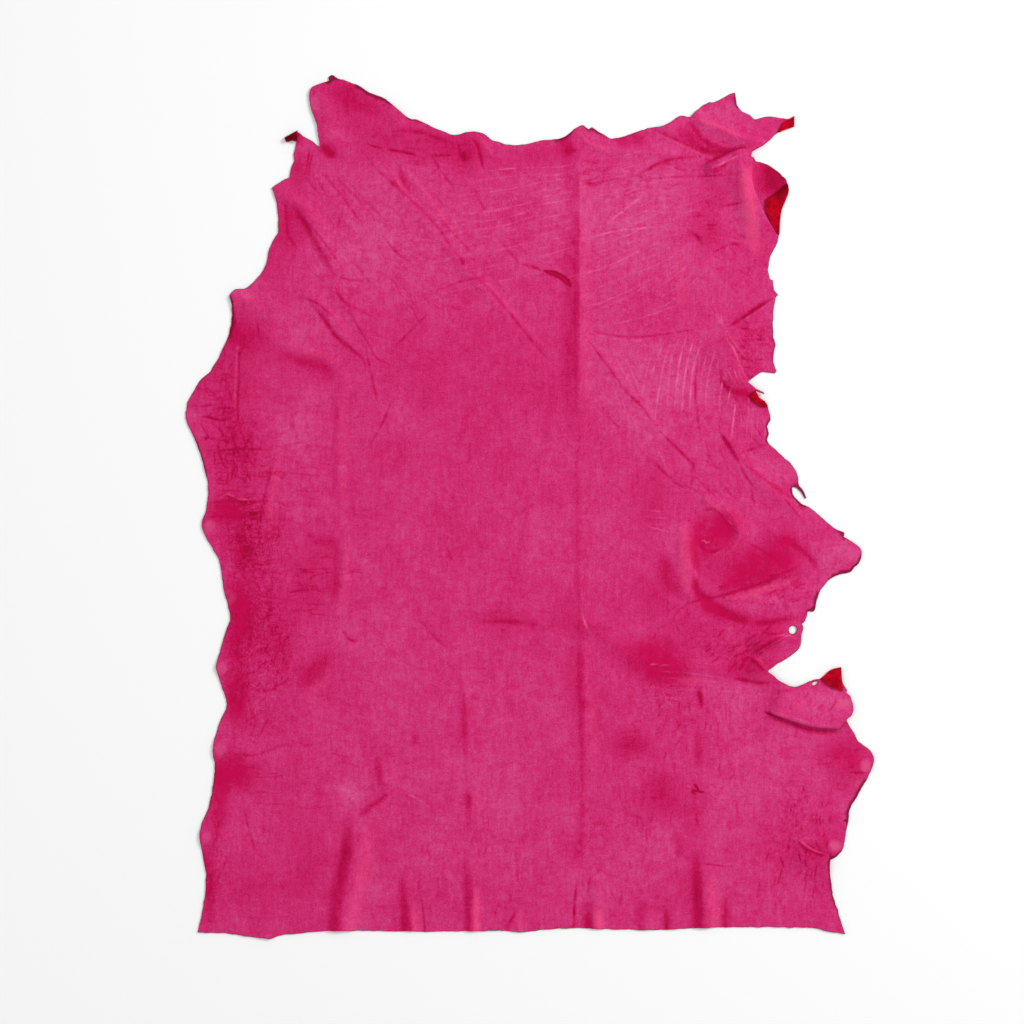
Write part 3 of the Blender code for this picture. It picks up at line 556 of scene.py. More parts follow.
# Creases, growth lines and scratches, pressed into the grain side in its own sizes.
# Rows without relief are only painted shade (dark rows) and painted highlight (pale rows).
# Columns: relief in mm (below nought a trough), half width in squares, tone (below nought
# dark: pooled dye, and painted shade in troughs, under fold edges and on slopes turned from
# the light; above nought pale: wear, and painted highlight on lit slopes, crests and fold
# edges), places.
CREASES = (
    # neck, left half
    (-1.0, 1.3, -0.9, ((384, 149), (396, 151), (408, 153), (421, 156.5))),
    (-0.5, 1.0, -0.5, ((362, 142), (373, 146), (384, 149))),
    (-0.5, 1.2, -0.5, ((426, 156), (440, 155.5), (454, 155))),
    (-0.7, 2.6, -0.9, ((461, 152.5), (463.5, 157), (465.5, 163))),
    (-0.8, 1.4, -0.9, ((472, 138), (477.6, 146), (480, 156), (484, 171))),
    (-0.5, 1.2, -0.5, ((457, 140), (459, 148), (459.6, 158))),
    (-0.9, 3.6, -0.8, ((321, 145), (326, 150), (335, 157.5))),
    (-0.5, 1.3, -0.4, ((333, 174), (348, 189.6), (362.4, 204), (373, 218))),
    (-0.6, 3.0, -0.6, ((292, 203), (304.8, 223), (316.8, 245), (328.8, 266.4), (337, 277))),
    (-0.5, 1.3, -0.6, ((336, 276), (348, 279.6), (366, 281))),
    (-0.5, 1.8, -0.5, ((285.6, 204), (287, 222), (289, 237.6), (298, 248))),
    (-0.6, 1.9, -0.6, ((334.8, 282), (338.4, 295), (348, 304.8), (362.4, 312), (375, 317.5))),
    (-0.9, 2.1, -0.8, ((309, 300), (324, 319), (336, 336), (352.8, 350.4), (362.4, 359), (366, 370))),
    (-0.5, 1.1, -0.5, ((347, 308), (357.6, 326.4), (369.6, 345.6), (376.8, 358), (397, 367))),
    (-0.4, 1.3, -0.5, ((393, 349), (403, 338.4), (415, 326.4), (430, 311.5))),
    (-0.3, 1.0, -0.4, ((422, 297), (429.6, 291.6), (444, 288), (463, 281), (497, 274.8))),
    (-0.3, 1.2, -0.3, ((405.6, 294), (412, 301), (420, 310))),
    (-0.3, 2.0, -0.4, ((439, 302.4), (451, 307), (464, 311))),
    (-0.4, 1.6, -0.5, ((360, 150), (384, 176), (407, 196), (434.4, 223), (451, 247), (465, 266))),
    (-0.4, 1.5, -0.5, ((465, 266), (492, 292.8), (520, 326), (545, 356), (566, 374))),
    (-0.3, 1.3, -0.45, ((378, 158), (393, 178), (404, 198))),
    (-0.3, 1.3, -0.45, ((316, 168), (334, 186), (352, 210), (366, 230))),
    (-0.3, 1.3, -0.35, ((346, 178), (364, 200), (390, 224))),
    (-0.4, 1.2, -0.5, ((300, 214), (322, 240), (345, 272))),
    (-0.4, 1.2, -0.5, ((428, 152), (442, 172), (456, 192))),
    (-0.3, 1.2, -0.4, ((436, 214), (452, 232), (476, 258))),
    (-0.4, 1.4, -0.6, ((300, 296), (318, 304), (336, 320))),
    (-0.3, 1.2, -0.5, ((380, 232), (398, 254), (412, 262))),
    (0.2, 2.4, 0.45, ((400, 164), (424, 190), (450, 226), (474, 252))),
    (0.2, 2.4, 0.40, ((366, 148), (392, 176), (420, 205), (446, 234))),
    (0.2, 2.4, 0.40, ((472, 268), (500, 296), (530, 330), (562, 364))),
    (-0.3, 4.6, -0.30, ((283, 352), (300, 361), (322, 367), (333, 382))),
    (-0.2, 4.6, -0.14, ((334, 380), (334.6, 420), (335, 470), (334, 530))),
    (0.2, 4.0, 0.40, ((281, 341), (305, 350), (330, 358), (340, 376))),
    (0.2, 4.0, 0.35, ((341, 372), (341.6, 420), (342, 470), (342, 534))),
    (-0.3, 1.6, -0.4, ((345, 200), (337, 232), (334, 262))),
    (-0.3, 1.4, -0.5, ((366, 350), (372, 378), (378, 404))),
    (-0.6, 2.2, -0.9, ((459, 256), (461.5, 260), (464.5, 266))),
    (-0.4, 1.0, -0.5, ((474, 187), (480, 201), (488, 215))),
    (-0.4, 1.0, -0.5, ((496, 236.5), (506, 248), (516, 259), (521, 264))),
    (-0.4, 1.5, -0.7, ((520, 263.6), (530, 266), (543, 270.4))),
    (-0.5, 2.6, -0.5, ((398, 169), (404, 182), (411, 195))),
    (0.3, 1.1, 0.4, ((394, 161), (407, 172), (421, 183))),
    (-0.5, 2.2, -0.5, ((388, 131.5), (420, 132), (439, 138.5), (454, 143))),
    (-0.3, 0.8, -0.6, ((309.6, 148), (307, 165), (303.4, 178))),
    (-0.3, 0.8, -0.6, ((313.5, 150), (310.5, 163), (308, 177))),
    (0.4, 3.0, 0.5, ((478.8, 136), (487, 146), (495, 157))),
    (0.5, 4.0, 0.3, ((270, 190), (295, 199), (314, 212), (334, 240), (346, 262))),
    (0.5, 3.6, 0.25, ((316.8, 297), (334, 317), (348, 335), (364, 353))),
    (0.4, 2.2, 0.5, ((323, 124), (336, 134), (349, 142))),
    (0.4, 5.0, 0.4, ((234, 293), (245, 297), (258, 302))),
    # left belly
    (-0.5, 0.9, -0.8, ((241, 330), (240, 345), (238.8, 380), (237.6, 409.6), (238.8, 424),
                       (242.6, 439))),
    (0.3, 1.3, 0.45, ((236.6, 345), (235.6, 380), (234, 416))),
    (-0.3, 0.9, -0.4, ((256.6, 318), (258, 328), (259.4, 338))),
    (-0.3, 0.9, -0.35, ((203, 393), (218, 391.5), (234, 392))),
    (-0.3, 0.9, -0.35, ((202, 400.5), (218, 399.5), (235, 400.5))),
    (-0.4, 1.0, -0.6, ((210, 410), (222, 408), (236, 408.4))),
    (-0.7, 1.2, -0.9, ((198.6, 417.4), (206, 416.8), (220, 420), (232, 418.7))),
    (-0.4, 0.8, -0.6, ((200, 422), (205, 431), (211.4, 441))),
    (-0.3, 0.8, -0.5, ((206, 422.4), (218, 427.6), (224.8, 438))),
    (-0.5, 1.0, -0.7, ((228, 423), (236.4, 448), (240, 457.6), (244, 473))),
    (-0.5, 1.0, -0.6, ((204, 450.4), (225, 450), (240, 449), (277, 450))),
    (-0.4, 0.9, -0.6, ((244.6, 451), (250, 460), (257, 470))),
    (-0.4, 0.9, -0.5, ((218.2, 437), (219.6, 455), (228.4, 473))),
    (-0.5, 1.6, -0.5, ((276.4, 446), (272.4, 465), (268.8, 479), (261.6, 508), (258, 525),
                       (253.6, 543))),
    (0.4, 4.5, 0.35, ((283, 430), (276, 472), (268.8, 520), (262, 547))),
    (0.5, 1.3, 0.4, ((209, 498.4), (220.8, 497.4), (228, 493.8), (238, 499), (260, 498.4))),
    (-0.6, 1.1, -0.8, ((208.6, 502.9), (228, 502), (267, 502))),
    (-0.6, 1.1, -0.7, ((205, 517.6), (220.8, 516.4), (240, 517), (262, 514.6))),
    (-0.3, 0.9, -0.4, ((246, 472), (281, 472), (325, 477))),
    (-0.3, 0.7, -0.35, ((285, 570.6), (330, 569), (373, 570))),
    (-0.3, 0.9, -0.5, ((285, 592.4), (310, 590), (334, 588.2))),
    (-0.3, 0.8, -0.4, ((258, 596.4), (272, 597.6), (286, 600))),
    (-0.5, 5.0, -0.35, ((303, 529), (314.4, 541), (330, 541), (335.5, 554), (336, 582), (333, 612))),
    (0.4, 5.0, 0.4, ((346, 538), (346, 575), (342, 600), (338, 618))),
    (0.4, 2.0, 0.6, ((340.6, 604), (338.6, 612), (336.6, 618))),
    (-0.4, 1.6, -0.6, ((340.6, 627.4), (350.4, 640), (363, 640))),
    (-0.4, 7.0, -0.22, ((299, 689), (309.6, 676), (321.6, 664), (332, 651))),
    (0.5, 7.0, 0.3, ((301, 703), (314, 692), (327, 677))),
    (-0.3, 1.1, -0.5, ((259, 737), (264, 727), (269, 716))),
    (-0.3, 1.1, -0.5, ((249.4, 737), (253, 729), (257, 721))),
    (-0.3, 0.9, -0.5, ((253, 691.6), (271, 690), (278, 685.6), (289, 680))),
    (-0.4, 1.4, -0.4, ((222, 752.4), (252, 755.4), (265, 752.6), (281, 745.6), (300, 748))),
    (-0.4, 1.0, -0.5, ((243.2, 806), (249.6, 832), (256, 853))),
    (-0.3, 1.6, -0.4, ((264, 806), (264, 822), (262.6, 838))),
    (0.3, 1.5, 0.35, ((246, 794), (254, 816), (262, 846))),
    (-0.3, 0.8, -0.4, ((251, 776.8), (271, 777), (286, 774.2))),
    (-0.2, 0.7, -0.25, ((249, 803), (270, 804), (291, 804.4))),
    # middle of the back
    (-0.3, 2.0, -0.4, ((446, 545.6), (449, 553), (451.4, 561.6))),
    (-0.3, 1.8, -0.4, ((410, 618), (422.4, 623), (432, 635), (449.4, 650))),
    (-0.4, 2.2, -0.45, ((474, 615), (482.4, 620.8), (516, 622), (546, 627))),
    (-0.4, 1.2, -0.5, ((369, 446.6), (376.8, 433.6), (386.4, 414.4), (391.6, 399))),
    (-0.3, 3.0, -0.45, ((415.4, 732), (415, 738), (413.6, 746))),
    (0.3, 0.9, 0.6, ((403, 791.6), (416, 798), (430, 806))),
    (0.3, 2.2, 0.7, ((390, 805), (393.6, 809), (397, 812))),
    (0.2, 1.5, 0.8, ((368.2, 427), (369.6, 429), (371, 431))),
    (0.2, 1.5, 0.8, ((472, 419.4), (473.3, 421), (474.4, 423))),
    (0.2, 1.8, 0.8, ((235, 347), (238, 347.4), (241, 347.6))),
    # Beside the foot folds the wide dark rows are painted shade on slopes turned from the light, and
    # the pale rows without relief are painted highlight on the lit right sides of the folds.
    (-0.3, 7.0, -0.6, ((346, 806), (348, 832), (345.6, 856), (340, 880), (336, 904), (331, 972))),
    (0.0, 10.0, 0.5, ((378, 806), (368, 846), (362, 880), (356, 910), (345, 975))),
    (-0.5, 3.0, -0.6, ((389.4, 792.6), (372, 805.6), (357, 818))),
    (-0.2, 3.5, -0.45, ((376.6, 753), (379, 774.4), (384.4, 795))),
    (-0.2, 4.0, -0.35, ((460, 672), (464, 712), (465.8, 764))),
    (-0.3, 3.0, -0.6, ((467.6, 790), (468.4, 803), (469, 815))),
    (-0.2, 4.5, -0.5, ((465.4, 846), (468, 892), (468, 972))),
    (0.0, 4.0, 0.8, ((476.6, 880), (476.4, 905), (476.4, 972))),
    (0.0, 3.0, 0.5, ((477.4, 782), (477.6, 800), (477.6, 818))),
    (-0.2, 4.5, -0.55, ((401.0, 866), (404, 910), (405.8, 972))),
    (0.0, 4.0, 0.7, ((414.6, 896), (415.6, 916), (416.6, 972))),
    (-0.4, 0.9, -0.6, ((419.6, 890), (423, 910), (427.6, 972))),
    (-0.4, 2.0, -0.8, ((505.4, 934), (511, 920), (517, 910))),
    (0.0, 4.0, 0.5, ((521.4, 900), (520.4, 918), (520, 972))),
    # the old middle fold; its rows without relief are painted shade on the slope left of the fold,
    # turned from the light, and painted highlight on the lit slope right of it, down to the foot
    (0.0, 8.5, -0.3, ((569, 128), (570, 200), (570, 300), (570, 400), (571, 446))),
    (0.0, 3.6, -0.5, ((575, 140), (575.6, 200), (575.4, 300), (575.6, 400), (576, 430))),
    (0.0, 6.0, 0.35, ((586, 132), (586, 200), (586, 300), (586, 400), (587, 446))),
    (0.0, 3.0, 0.35, ((581.6, 140), (582, 200), (582, 300), (582, 400), (582, 430))),
    (-0.4, 1.4, -0.6, ((578, 160), (578, 230), (578, 300), (578, 345))),
    (-0.5, 2.0, -0.9, ((575, 288), (575, 297), (575.4, 306))),
    (-0.5, 2.6, -0.7, ((564, 150.6), (570, 150.6), (577, 151))),
    (-0.2, 3.0, -0.45, ((579, 620), (580.4, 700), (581.6, 736), (583, 800))),
    (0.0, 2.6, -0.25, ((577, 430), (577.4, 500), (577.6, 560), (578.6, 620))),
    (0.0, 3.0, 0.3, ((584, 430), (584.4, 500), (585, 560), (586, 620))),
    (0.0, 3.4, -0.4, ((583, 790), (581, 830), (578, 866))),
    (0.0, 5.0, 0.35, ((589, 672), (592.4, 712), (594, 778))),
    (-0.4, 2.0, -0.7, ((580.4, 800), (583.6, 807), (587.4, 814))),
    (0.3, 1.4, 0.6, ((581, 608), (585, 623), (591, 636))),
    (-0.3, 1.5, -0.4, ((572.6, 578), (577, 590), (581, 602))),
    (-0.6, 1.4, -0.9, ((577.2, 876), (574.5, 905), (572.8, 972))),
    (0.0, 5.0, -0.7, ((586, 896), (588, 914), (589.4, 972))),
    (0.0, 5.0, 0.9, ((598, 900), (599, 916), (599.8, 972))),
    # neck, right half; the pale rows along the ridge by the middle fold and the pale band over the
    # ear fold are painted highlight, and the wide dark rows without relief and the dark row along
    # the ear fold are painted shade on slopes turned from the light
    (0.4, 2.4, 0.8, ((580.6, 127.6), (583, 136), (592, 144.5), (612, 149))),
    (0.3, 1.8, 0.5, ((611, 149), (631, 150.7), (687, 154))),
    (0.0, 8.0, -0.4, ((614, 140.6), (630, 140), (647, 138.6))),
    (-0.8, 1.8, -0.8, ((650, 127.4), (674, 139), (695.6, 148.8), (711, 157.4))),
    (0.4, 1.8, 0.7, ((654.6, 132.2), (683.6, 146.5), (706, 157.6))),
    (0.0, 8.0, -0.5, ((677, 123), (690, 138), (706, 149))),
    (-0.6, 3.0, -0.8, ((687.6, 118.6), (702.8, 139), (719.6, 148.4), (735, 148.6))),
    (0.3, 2.6, 0.75, ((688, 116), (712, 124), (729, 131), (750, 142))),
    (-0.5, 3.4, -0.9, ((694, 146), (708, 151), (724, 152), (740, 147))),
    (-0.6, 1.6, -0.7, ((625, 178), (638, 175), (659.6, 163), (679, 158.4), (699, 157))),
    (-0.4, 1.4, -0.5, ((578, 184.8), (592.4, 184), (606.8, 180), (627, 178))),
    (-0.4, 2.2, -0.8, ((582, 182.6), (590, 183.4), (599, 184.8))),
    (-0.3, 1.4, -0.6, ((637, 175.6), (640, 176.6), (644, 176.6))),
    (-0.4, 1.0, -0.5, ((630, 182.6), (664.4, 177.6), (698, 176.4), (737, 175))),
    (0.3, 0.9, 0.45, ((632, 185.6), (664, 180.6), (699, 179))),
    (-0.5, 1.6, -0.6, ((702, 170.6), (712.4, 170.2), (730, 162.6))),
    (-0.5, 1.8, -0.6, ((685.4, 228), (698, 237.6), (703.4, 246))),
    (-0.5, 1.4, -0.6, ((712.4, 252.4), (734, 243.6), (742, 250.4))),
    (-0.5, 1.2, -0.6, ((716, 207.8), (741, 202.8), (761, 200.2))),
    (-0.3, 1.1, -0.4, ((690, 216), (696, 216.4), (703, 215.8))),
    # Beside the ear fold the dark row is painted shade, with a shallow trough, on the ear where it
    # slopes down under the body away from the light; the pale row is painted highlight on the body's
    # fold edge.
    (-0.3, 2.2, -1.0, ((703, 165.4), (716, 158.8), (728, 153.0), (740, 148.0), (751, 147.4))),
    (0.2, 1.3, 0.7, ((704, 171.4), (716, 166.6), (728, 161.0), (740, 155.4), (751, 153.4))),
    # Painted highlight on the lit shoulder of the roll.
    (0.2, 8.0, 0.85, ((746.5, 156), (746, 180), (749, 206), (757, 262))),
    (0.1, 3.0, 0.50, ((748, 162), (748.6, 184), (752, 206), (757, 232))),
    (0.2, 1.6, 0.4, ((700, 234.6), (735, 240), (761, 247.4))),
    (0.2, 5.0, 0.35, ((677, 243), (682, 290), (685, 327))),
    (-0.4, 1.0, -0.5, ((584, 328.4), (602, 333.6), (626, 337), (650, 336), (684, 331), (711, 326.6))),
    (0.3, 0.9, 0.4, ((589, 332.4), (604, 337), (628, 340.6), (653, 339.6))),
    # throat; the pale row along the fold edge is painted highlight on the body's lit fold edge
    (-0.9, 1.8, -0.9, ((723.6, 329.2), (741, 319), (758, 307), (774, 297.6))),
    (0.3, 1.2, 0.5, ((734, 326.6), (755, 313), (770, 303.4))),
    (0.2, 1.3, 0.9, ((728.4, 337.6), (735, 352.8), (742.4, 369.6), (747, 379))),
    (-0.4, 1.2, -0.7, ((698.4, 358), (695.6, 379), (695.6, 400.8), (698.6, 424), (701.2, 441))),
    (-0.9, 2.2, -0.8, ((720.6, 368), (722, 381.6), (731.6, 391), (745, 393.6), (757, 397))),
    (-0.4, 1.9, -0.6, ((692.4, 456), (693, 472), (690.6, 490))),
    (-0.3, 0.8, -0.4, ((705.6, 439), (709, 455), (715.6, 469))),
    (0.3, 0.9, 0.6, ((696.4, 444), (697.6, 452), (700.6, 458))),
    # right belly
    (-0.5, 1.3, -0.8, ((584, 334), (611.6, 372), (626, 391), (643.4, 409), (658, 430))),
    (0.2, 2.4, 0.4, ((592, 336), (618, 372), (634, 392), (652, 414))),
    (-0.4, 1.1, -0.5, ((601, 411), (614, 423), (627, 434.6))),
    (-0.5, 1.4, -0.8, ((656, 428), (674, 445.6), (690, 462), (697, 476))),
    (-0.4, 1.4, -0.6, ((651.6, 459.2), (674, 481.6), (687, 489.4))),
    (-0.3, 0.9, -0.4, ((603.6, 478.4), (615, 486), (627, 494))),
    (-0.9, 2.0, -1.0, ((719, 431), (731.6, 450.4), (741, 466))),
    (-0.6, 1.2, -0.6, ((738, 461), (746, 476.8), (758.8, 494.4))),
    (-0.6, 1.4, -0.9, ((738, 455), (750, 450), (768, 444.4))),
    (-0.4, 2.2, -0.5, ((738, 459), (758, 474.4), (784.4, 493.6), (797, 502))),
    (0.5, 3.0, 0.55, ((701.6, 497.8), (712.4, 503), (723, 513.8))),
    (0.4, 1.2, 0.35, ((721, 512), (728, 520), (735, 527))),
    (0.3, 2.0, 0.5, ((722, 505), (735, 518), (740, 534), (733, 549), (720, 558))),
    (-0.4, 1.5, -0.6, ((698, 512), (712, 509), (724, 518), (729, 532))),
    (-0.4, 1.3, -0.6, ((696, 536), (702, 548), (714, 552), (725, 546))),
    (0.3, 0.8, 0.5, ((700, 543), (704, 540), (706, 543), (711, 540))),
    (0.3, 0.8, 0.4, ((703, 534), (707, 536), (711, 533), (713, 537))),
    (0.3, 0.8, 0.4, ((712, 546), (715, 541), (714, 536))),
    (-0.4, 1.4, -0.5, ((742, 540), (764, 552), (788, 572))),
    (-0.4, 1.2, -0.5, ((756, 470), (778, 492), (802, 520))),
    (-0.4, 1.2, -0.5, ((690, 470), (704, 486), (722, 502))),
    (-0.3, 5.0, -0.5, ((689, 532), (693, 558), (698.4, 572))),
    (0.5, 8.0, 0.55, ((683.4, 512), (686, 556), (686, 577.6), (692, 600))),
    (-0.4, 8.0, -0.4, ((663.6, 551), (669, 582), (683, 598))),
    (0.5, 1.3, 0.35, ((697.6, 568.6), (710, 559), (723, 548.2))),
    (-0.8, 4.0, -0.8, ((692.6, 575), (696.5, 589.6), (705, 598), (716, 603.6))),
    (-0.8, 1.3, -0.8, ((673.4, 614.4), (684, 606.4), (698, 600.4), (722, 595.6), (760, 583.6),
                       (800, 565))),
    (0.3, 4.0, 0.6, ((722, 600.6), (743, 596), (762, 590), (784, 583), (802, 576))),
    (-0.4, 1.1, -0.5, ((673.8, 613), (675, 623), (680.6, 633.6))),
    (-0.6, 4.0, -0.7, ((699.4, 603.4), (717, 608.8), (731.6, 616), (752, 624.8))),
    (-0.5, 2.8, -0.7, ((750, 624), (770, 622), (786, 619.2), (796, 619.6))),
    (-0.5, 3.0, -0.5, ((783.4, 538), (806, 553.6), (815.6, 566), (820, 576))),
    (0.3, 1.0, 0.6, ((777, 634.8), (786, 635.6), (797, 636))),
    (-0.4, 1.0, -0.7, ((759, 631.6), (772, 634), (785, 632.6))),
    (-0.9, 1.6, -0.9, ((738.2, 671.6), (746, 659.4), (751.6, 656.4))),
    # The dark rows along the lobe's two fold edges are painted shadow on the lobe under the upper
    # layers, with a shallow trough along the top edge; the pale row is painted highlight on the lit
    # fold edge at the lobe's foot.
    (-0.3, 1.5, -0.9, ((749, 656.4), (757, 650.4), (767, 644.2), (778, 638.4), (788, 634.6))),
    (0.2, 1.3, 0.6, ((753.4, 655.2), (758.8, 659.6), (764.6, 665.0), (770.4, 671.0))),
    (0.0, 1.5, -0.7, ((748.6, 655.6), (754.6, 661.8), (760.6, 667.4), (766.6, 673.0))),
    (-0.6, 2.0, -0.7, ((726, 676.4), (741, 679.6), (758, 682.6), (772, 682.4), (783, 685))),
    (0.2, 5.0, 0.4, ((673, 680), (690, 681), (713, 682))),
    (0.3, 0.9, 0.55, ((649, 664.6), (656, 664.2), (660, 665))),
    (0.3, 0.9, 0.4, ((659, 665.4), (668, 665), (675, 665.4))),
    (-0.4, 3.0, -0.9, ((698.6, 686), (700.4, 700), (702, 710))),
    (-0.2, 0.8, -0.4, ((728.8, 704), (729.6, 720), (730, 737))),
    (0.2, 0.8, 0.4, ((741.2, 682), (739.6, 700), (738.6, 720))),
    (-0.4, 1.8, -0.7, ((786.4, 688), (786.8, 690.6), (787.4, 693))),
    (-0.3, 1.3, -0.9, ((762.6, 710.4), (772, 714.6), (786, 719.6))),
    # Under the tongue's fold edge the wide dark row is painted shadow, and the pale row above it
    # painted highlight along the edge.
    (0.0, 2.6, -0.8, ((772, 717.8), (790, 723.6), (808, 729.4), (826, 731.4), (842, 732.4))),
    (0.2, 1.4, 0.55, ((766, 708.6), (784, 714.6), (800, 719.4), (814, 723.6), (836, 725.4))),
    (0.2, 5.0, 0.4, ((794, 699), (797, 706), (801, 712))),
    # right leg and foot; beside the foot folds the wide dark rows are painted shade on slopes
    # turned from the light and the pale rows without relief painted highlight on their lit sides;
    # at the dart the dark row is a crease with painted shadow on the upper part, and the pale row
    # painted highlight on the lower part's fold edge
    (-0.2, 3.0, -0.7, ((663.8, 900), (666, 915), (669.4, 972))),
    (0.0, 4.0, 0.5, ((652.4, 896), (652, 914), (652, 972))),
    (0.0, 3.5, -0.4, ((640, 892), (640.6, 912), (641.4, 972))),
    (-0.3, 5.5, -0.65, ((696.0, 850), (697.6, 900), (698.4, 972))),
    (0.0, 8.0, 0.5, ((712, 866), (713.4, 900), (715, 972))),
    (-0.4, 1.0, -0.5, ((700, 863), (715, 865), (735, 867))),
    (0.0, 3.5, -0.6, ((729.4, 888), (726, 910), (721.8, 972))),
    (-0.5, 0.9, -2.2, ((690, 789.4), (697, 791.4), (705.6, 792.2))),
    (-0.5, 0.9, -2.2, ((694.6, 783.4), (696.6, 787), (699, 791))),
    (0.3, 0.9, 0.5, ((686, 785.4), (690, 787), (693, 788.4))),
    (-0.4, 1.0, -1.4, ((690, 791.6), (693, 793), (696.6, 795))),
    (-0.3, 1.0, -0.9, ((784, 789.6), (788, 793), (792, 797.4))),
    (-0.7, 1.3, -1.0, ((795, 838.6), (805, 848), (815, 852.8), (828, 856))),
    (0.4, 1.5, 0.6, ((796, 836.4), (806, 845.8), (816, 850.6), (827, 853.6))),
    (-0.2, 3.5, -0.4, ((698, 728), (698, 746), (698, 768))),
    (-0.2, 4.0, -0.45, ((676, 830), (678, 846), (680.4, 862))),
    (-0.3, 1.2, -0.5, ((623, 812.6), (633, 815.6), (643.4, 819))),
    (-0.3, 0.8, -0.6, ((848, 771.8), (858, 772.4), (868, 772.6))),
    (-0.8, 2.0, -4.0, ((542.6, 270.4), (554, 273.6), (564, 278.8), (572.6, 288.4))),
)

# Growth lines come in families of near-parallel pale lines. Columns: first line's places,
# last line's places, how many lines, half width in squares, tone.
GROWTH_LINES = (
    (((532, 168), (556, 167), (578, 163)), ((532, 258), (556, 252), (578, 245)), 13, 0.7, 0.65),
    (((590, 160), (620, 157), (650, 150)), ((590, 205), (622, 196), (660, 178)), 7, 0.7, 0.55),
    (((470, 172), (505, 170), (538, 166)), ((462, 250), (500, 242), (545, 226)), 10, 0.7, 0.55),
    (((595, 235), (622, 213), (651, 189)), ((584, 241), (612, 232), (665, 225.4)), 2, 0.9, 0.9),
    (((560, 278.4), (602, 268.8), (665, 239.6)), ((577, 306.4), (602, 302.4), (658, 275.6)),
     3, 0.9, 0.8),
    (((420, 268), (470, 254), (530, 246)), ((430, 296), (480, 286), (545, 270)), 3, 0.8, 0.6),
    (((400, 205), (440, 215), (480, 210)), ((412, 250), (440, 247), (475, 232)), 5, 0.8, 0.45),
    (((580, 214), (620, 206), (664, 188)), ((584, 262), (625, 252), (676, 226)), 7, 0.7, 0.55),
    (((626, 254), (660, 243), (690, 226)), ((640, 318), (672, 300), (708, 268)), 7, 0.7, 0.45),
    (((588, 312), (620, 300), (650, 284)), ((594, 326), (640, 318), (684, 302)), 2, 0.8, 0.5),
    (((681.4, 330), (672, 360), (665.4, 418)), ((716, 345), (708, 380), (706.4, 416)), 6, 0.9, 0.95),
    (((672, 336), (662, 366), (651.6, 432)), ((652, 344), (640, 372), (634, 400)), 4, 0.9, 0.7),
    (((722, 352), (714.6, 382), (716, 412)), ((736, 396), (734, 420), (731, 440)), 4, 0.9, 0.8),
    (((749, 396), (748.4, 414), (746, 430)), ((757, 405), (757, 420), (756, 436)), 3, 0.9, 0.8),
    (((696, 302), (716, 318), (736, 346)), ((720, 300), (724, 326), (748, 362)), 4, 0.8, 0.6),
    (((630, 352), (642, 380), (646, 410)), ((612, 346), (624, 372), (640, 398)), 3, 0.8, 0.45),
    (((663, 694), (680, 700), (699, 712)), ((666, 712), (684, 720), (700, 732)), 3, 0.8, 0.25),
    (((716, 652), (728, 642), (742, 632)), ((724, 668), (735, 652), (750, 642)), 4, 0.8, 0.35),
    (((640, 510), (655, 512), (672, 512)), ((644, 526), (662, 530), (684, 534)), 4, 0.8, 0.5),
    (((728, 366), (731, 378), (738, 388)), ((738, 368), (742, 378), (747, 386)), 3, 0.8, 0.7),
    (((655, 672), (690, 674), (730, 680)), ((650, 690), (700, 690), (760, 694)), 4, 0.8, 0.45),
    (((716, 690), (717, 705), (716, 722)), ((752, 690), (751, 705), (748, 720)), 5, 0.8, 0.5),
    (((440, 196), (500, 190), (566, 176)), ((430, 282), (500, 268), (572, 250)), 9, 0.7, 0.50),
    (((600, 166), (650, 176), (690, 172)), ((640, 210), (680, 214), (720, 200)), 6, 0.7, 0.45),
    (((610, 380), (618, 402), (622, 430)), ((654, 440), (664, 462), (672, 484)), 6, 0.7, 0.45),
    (((740, 404), (741, 424), (740, 444)), ((762, 410), (764, 428), (764, 444)), 5, 0.7, 0.55),
)

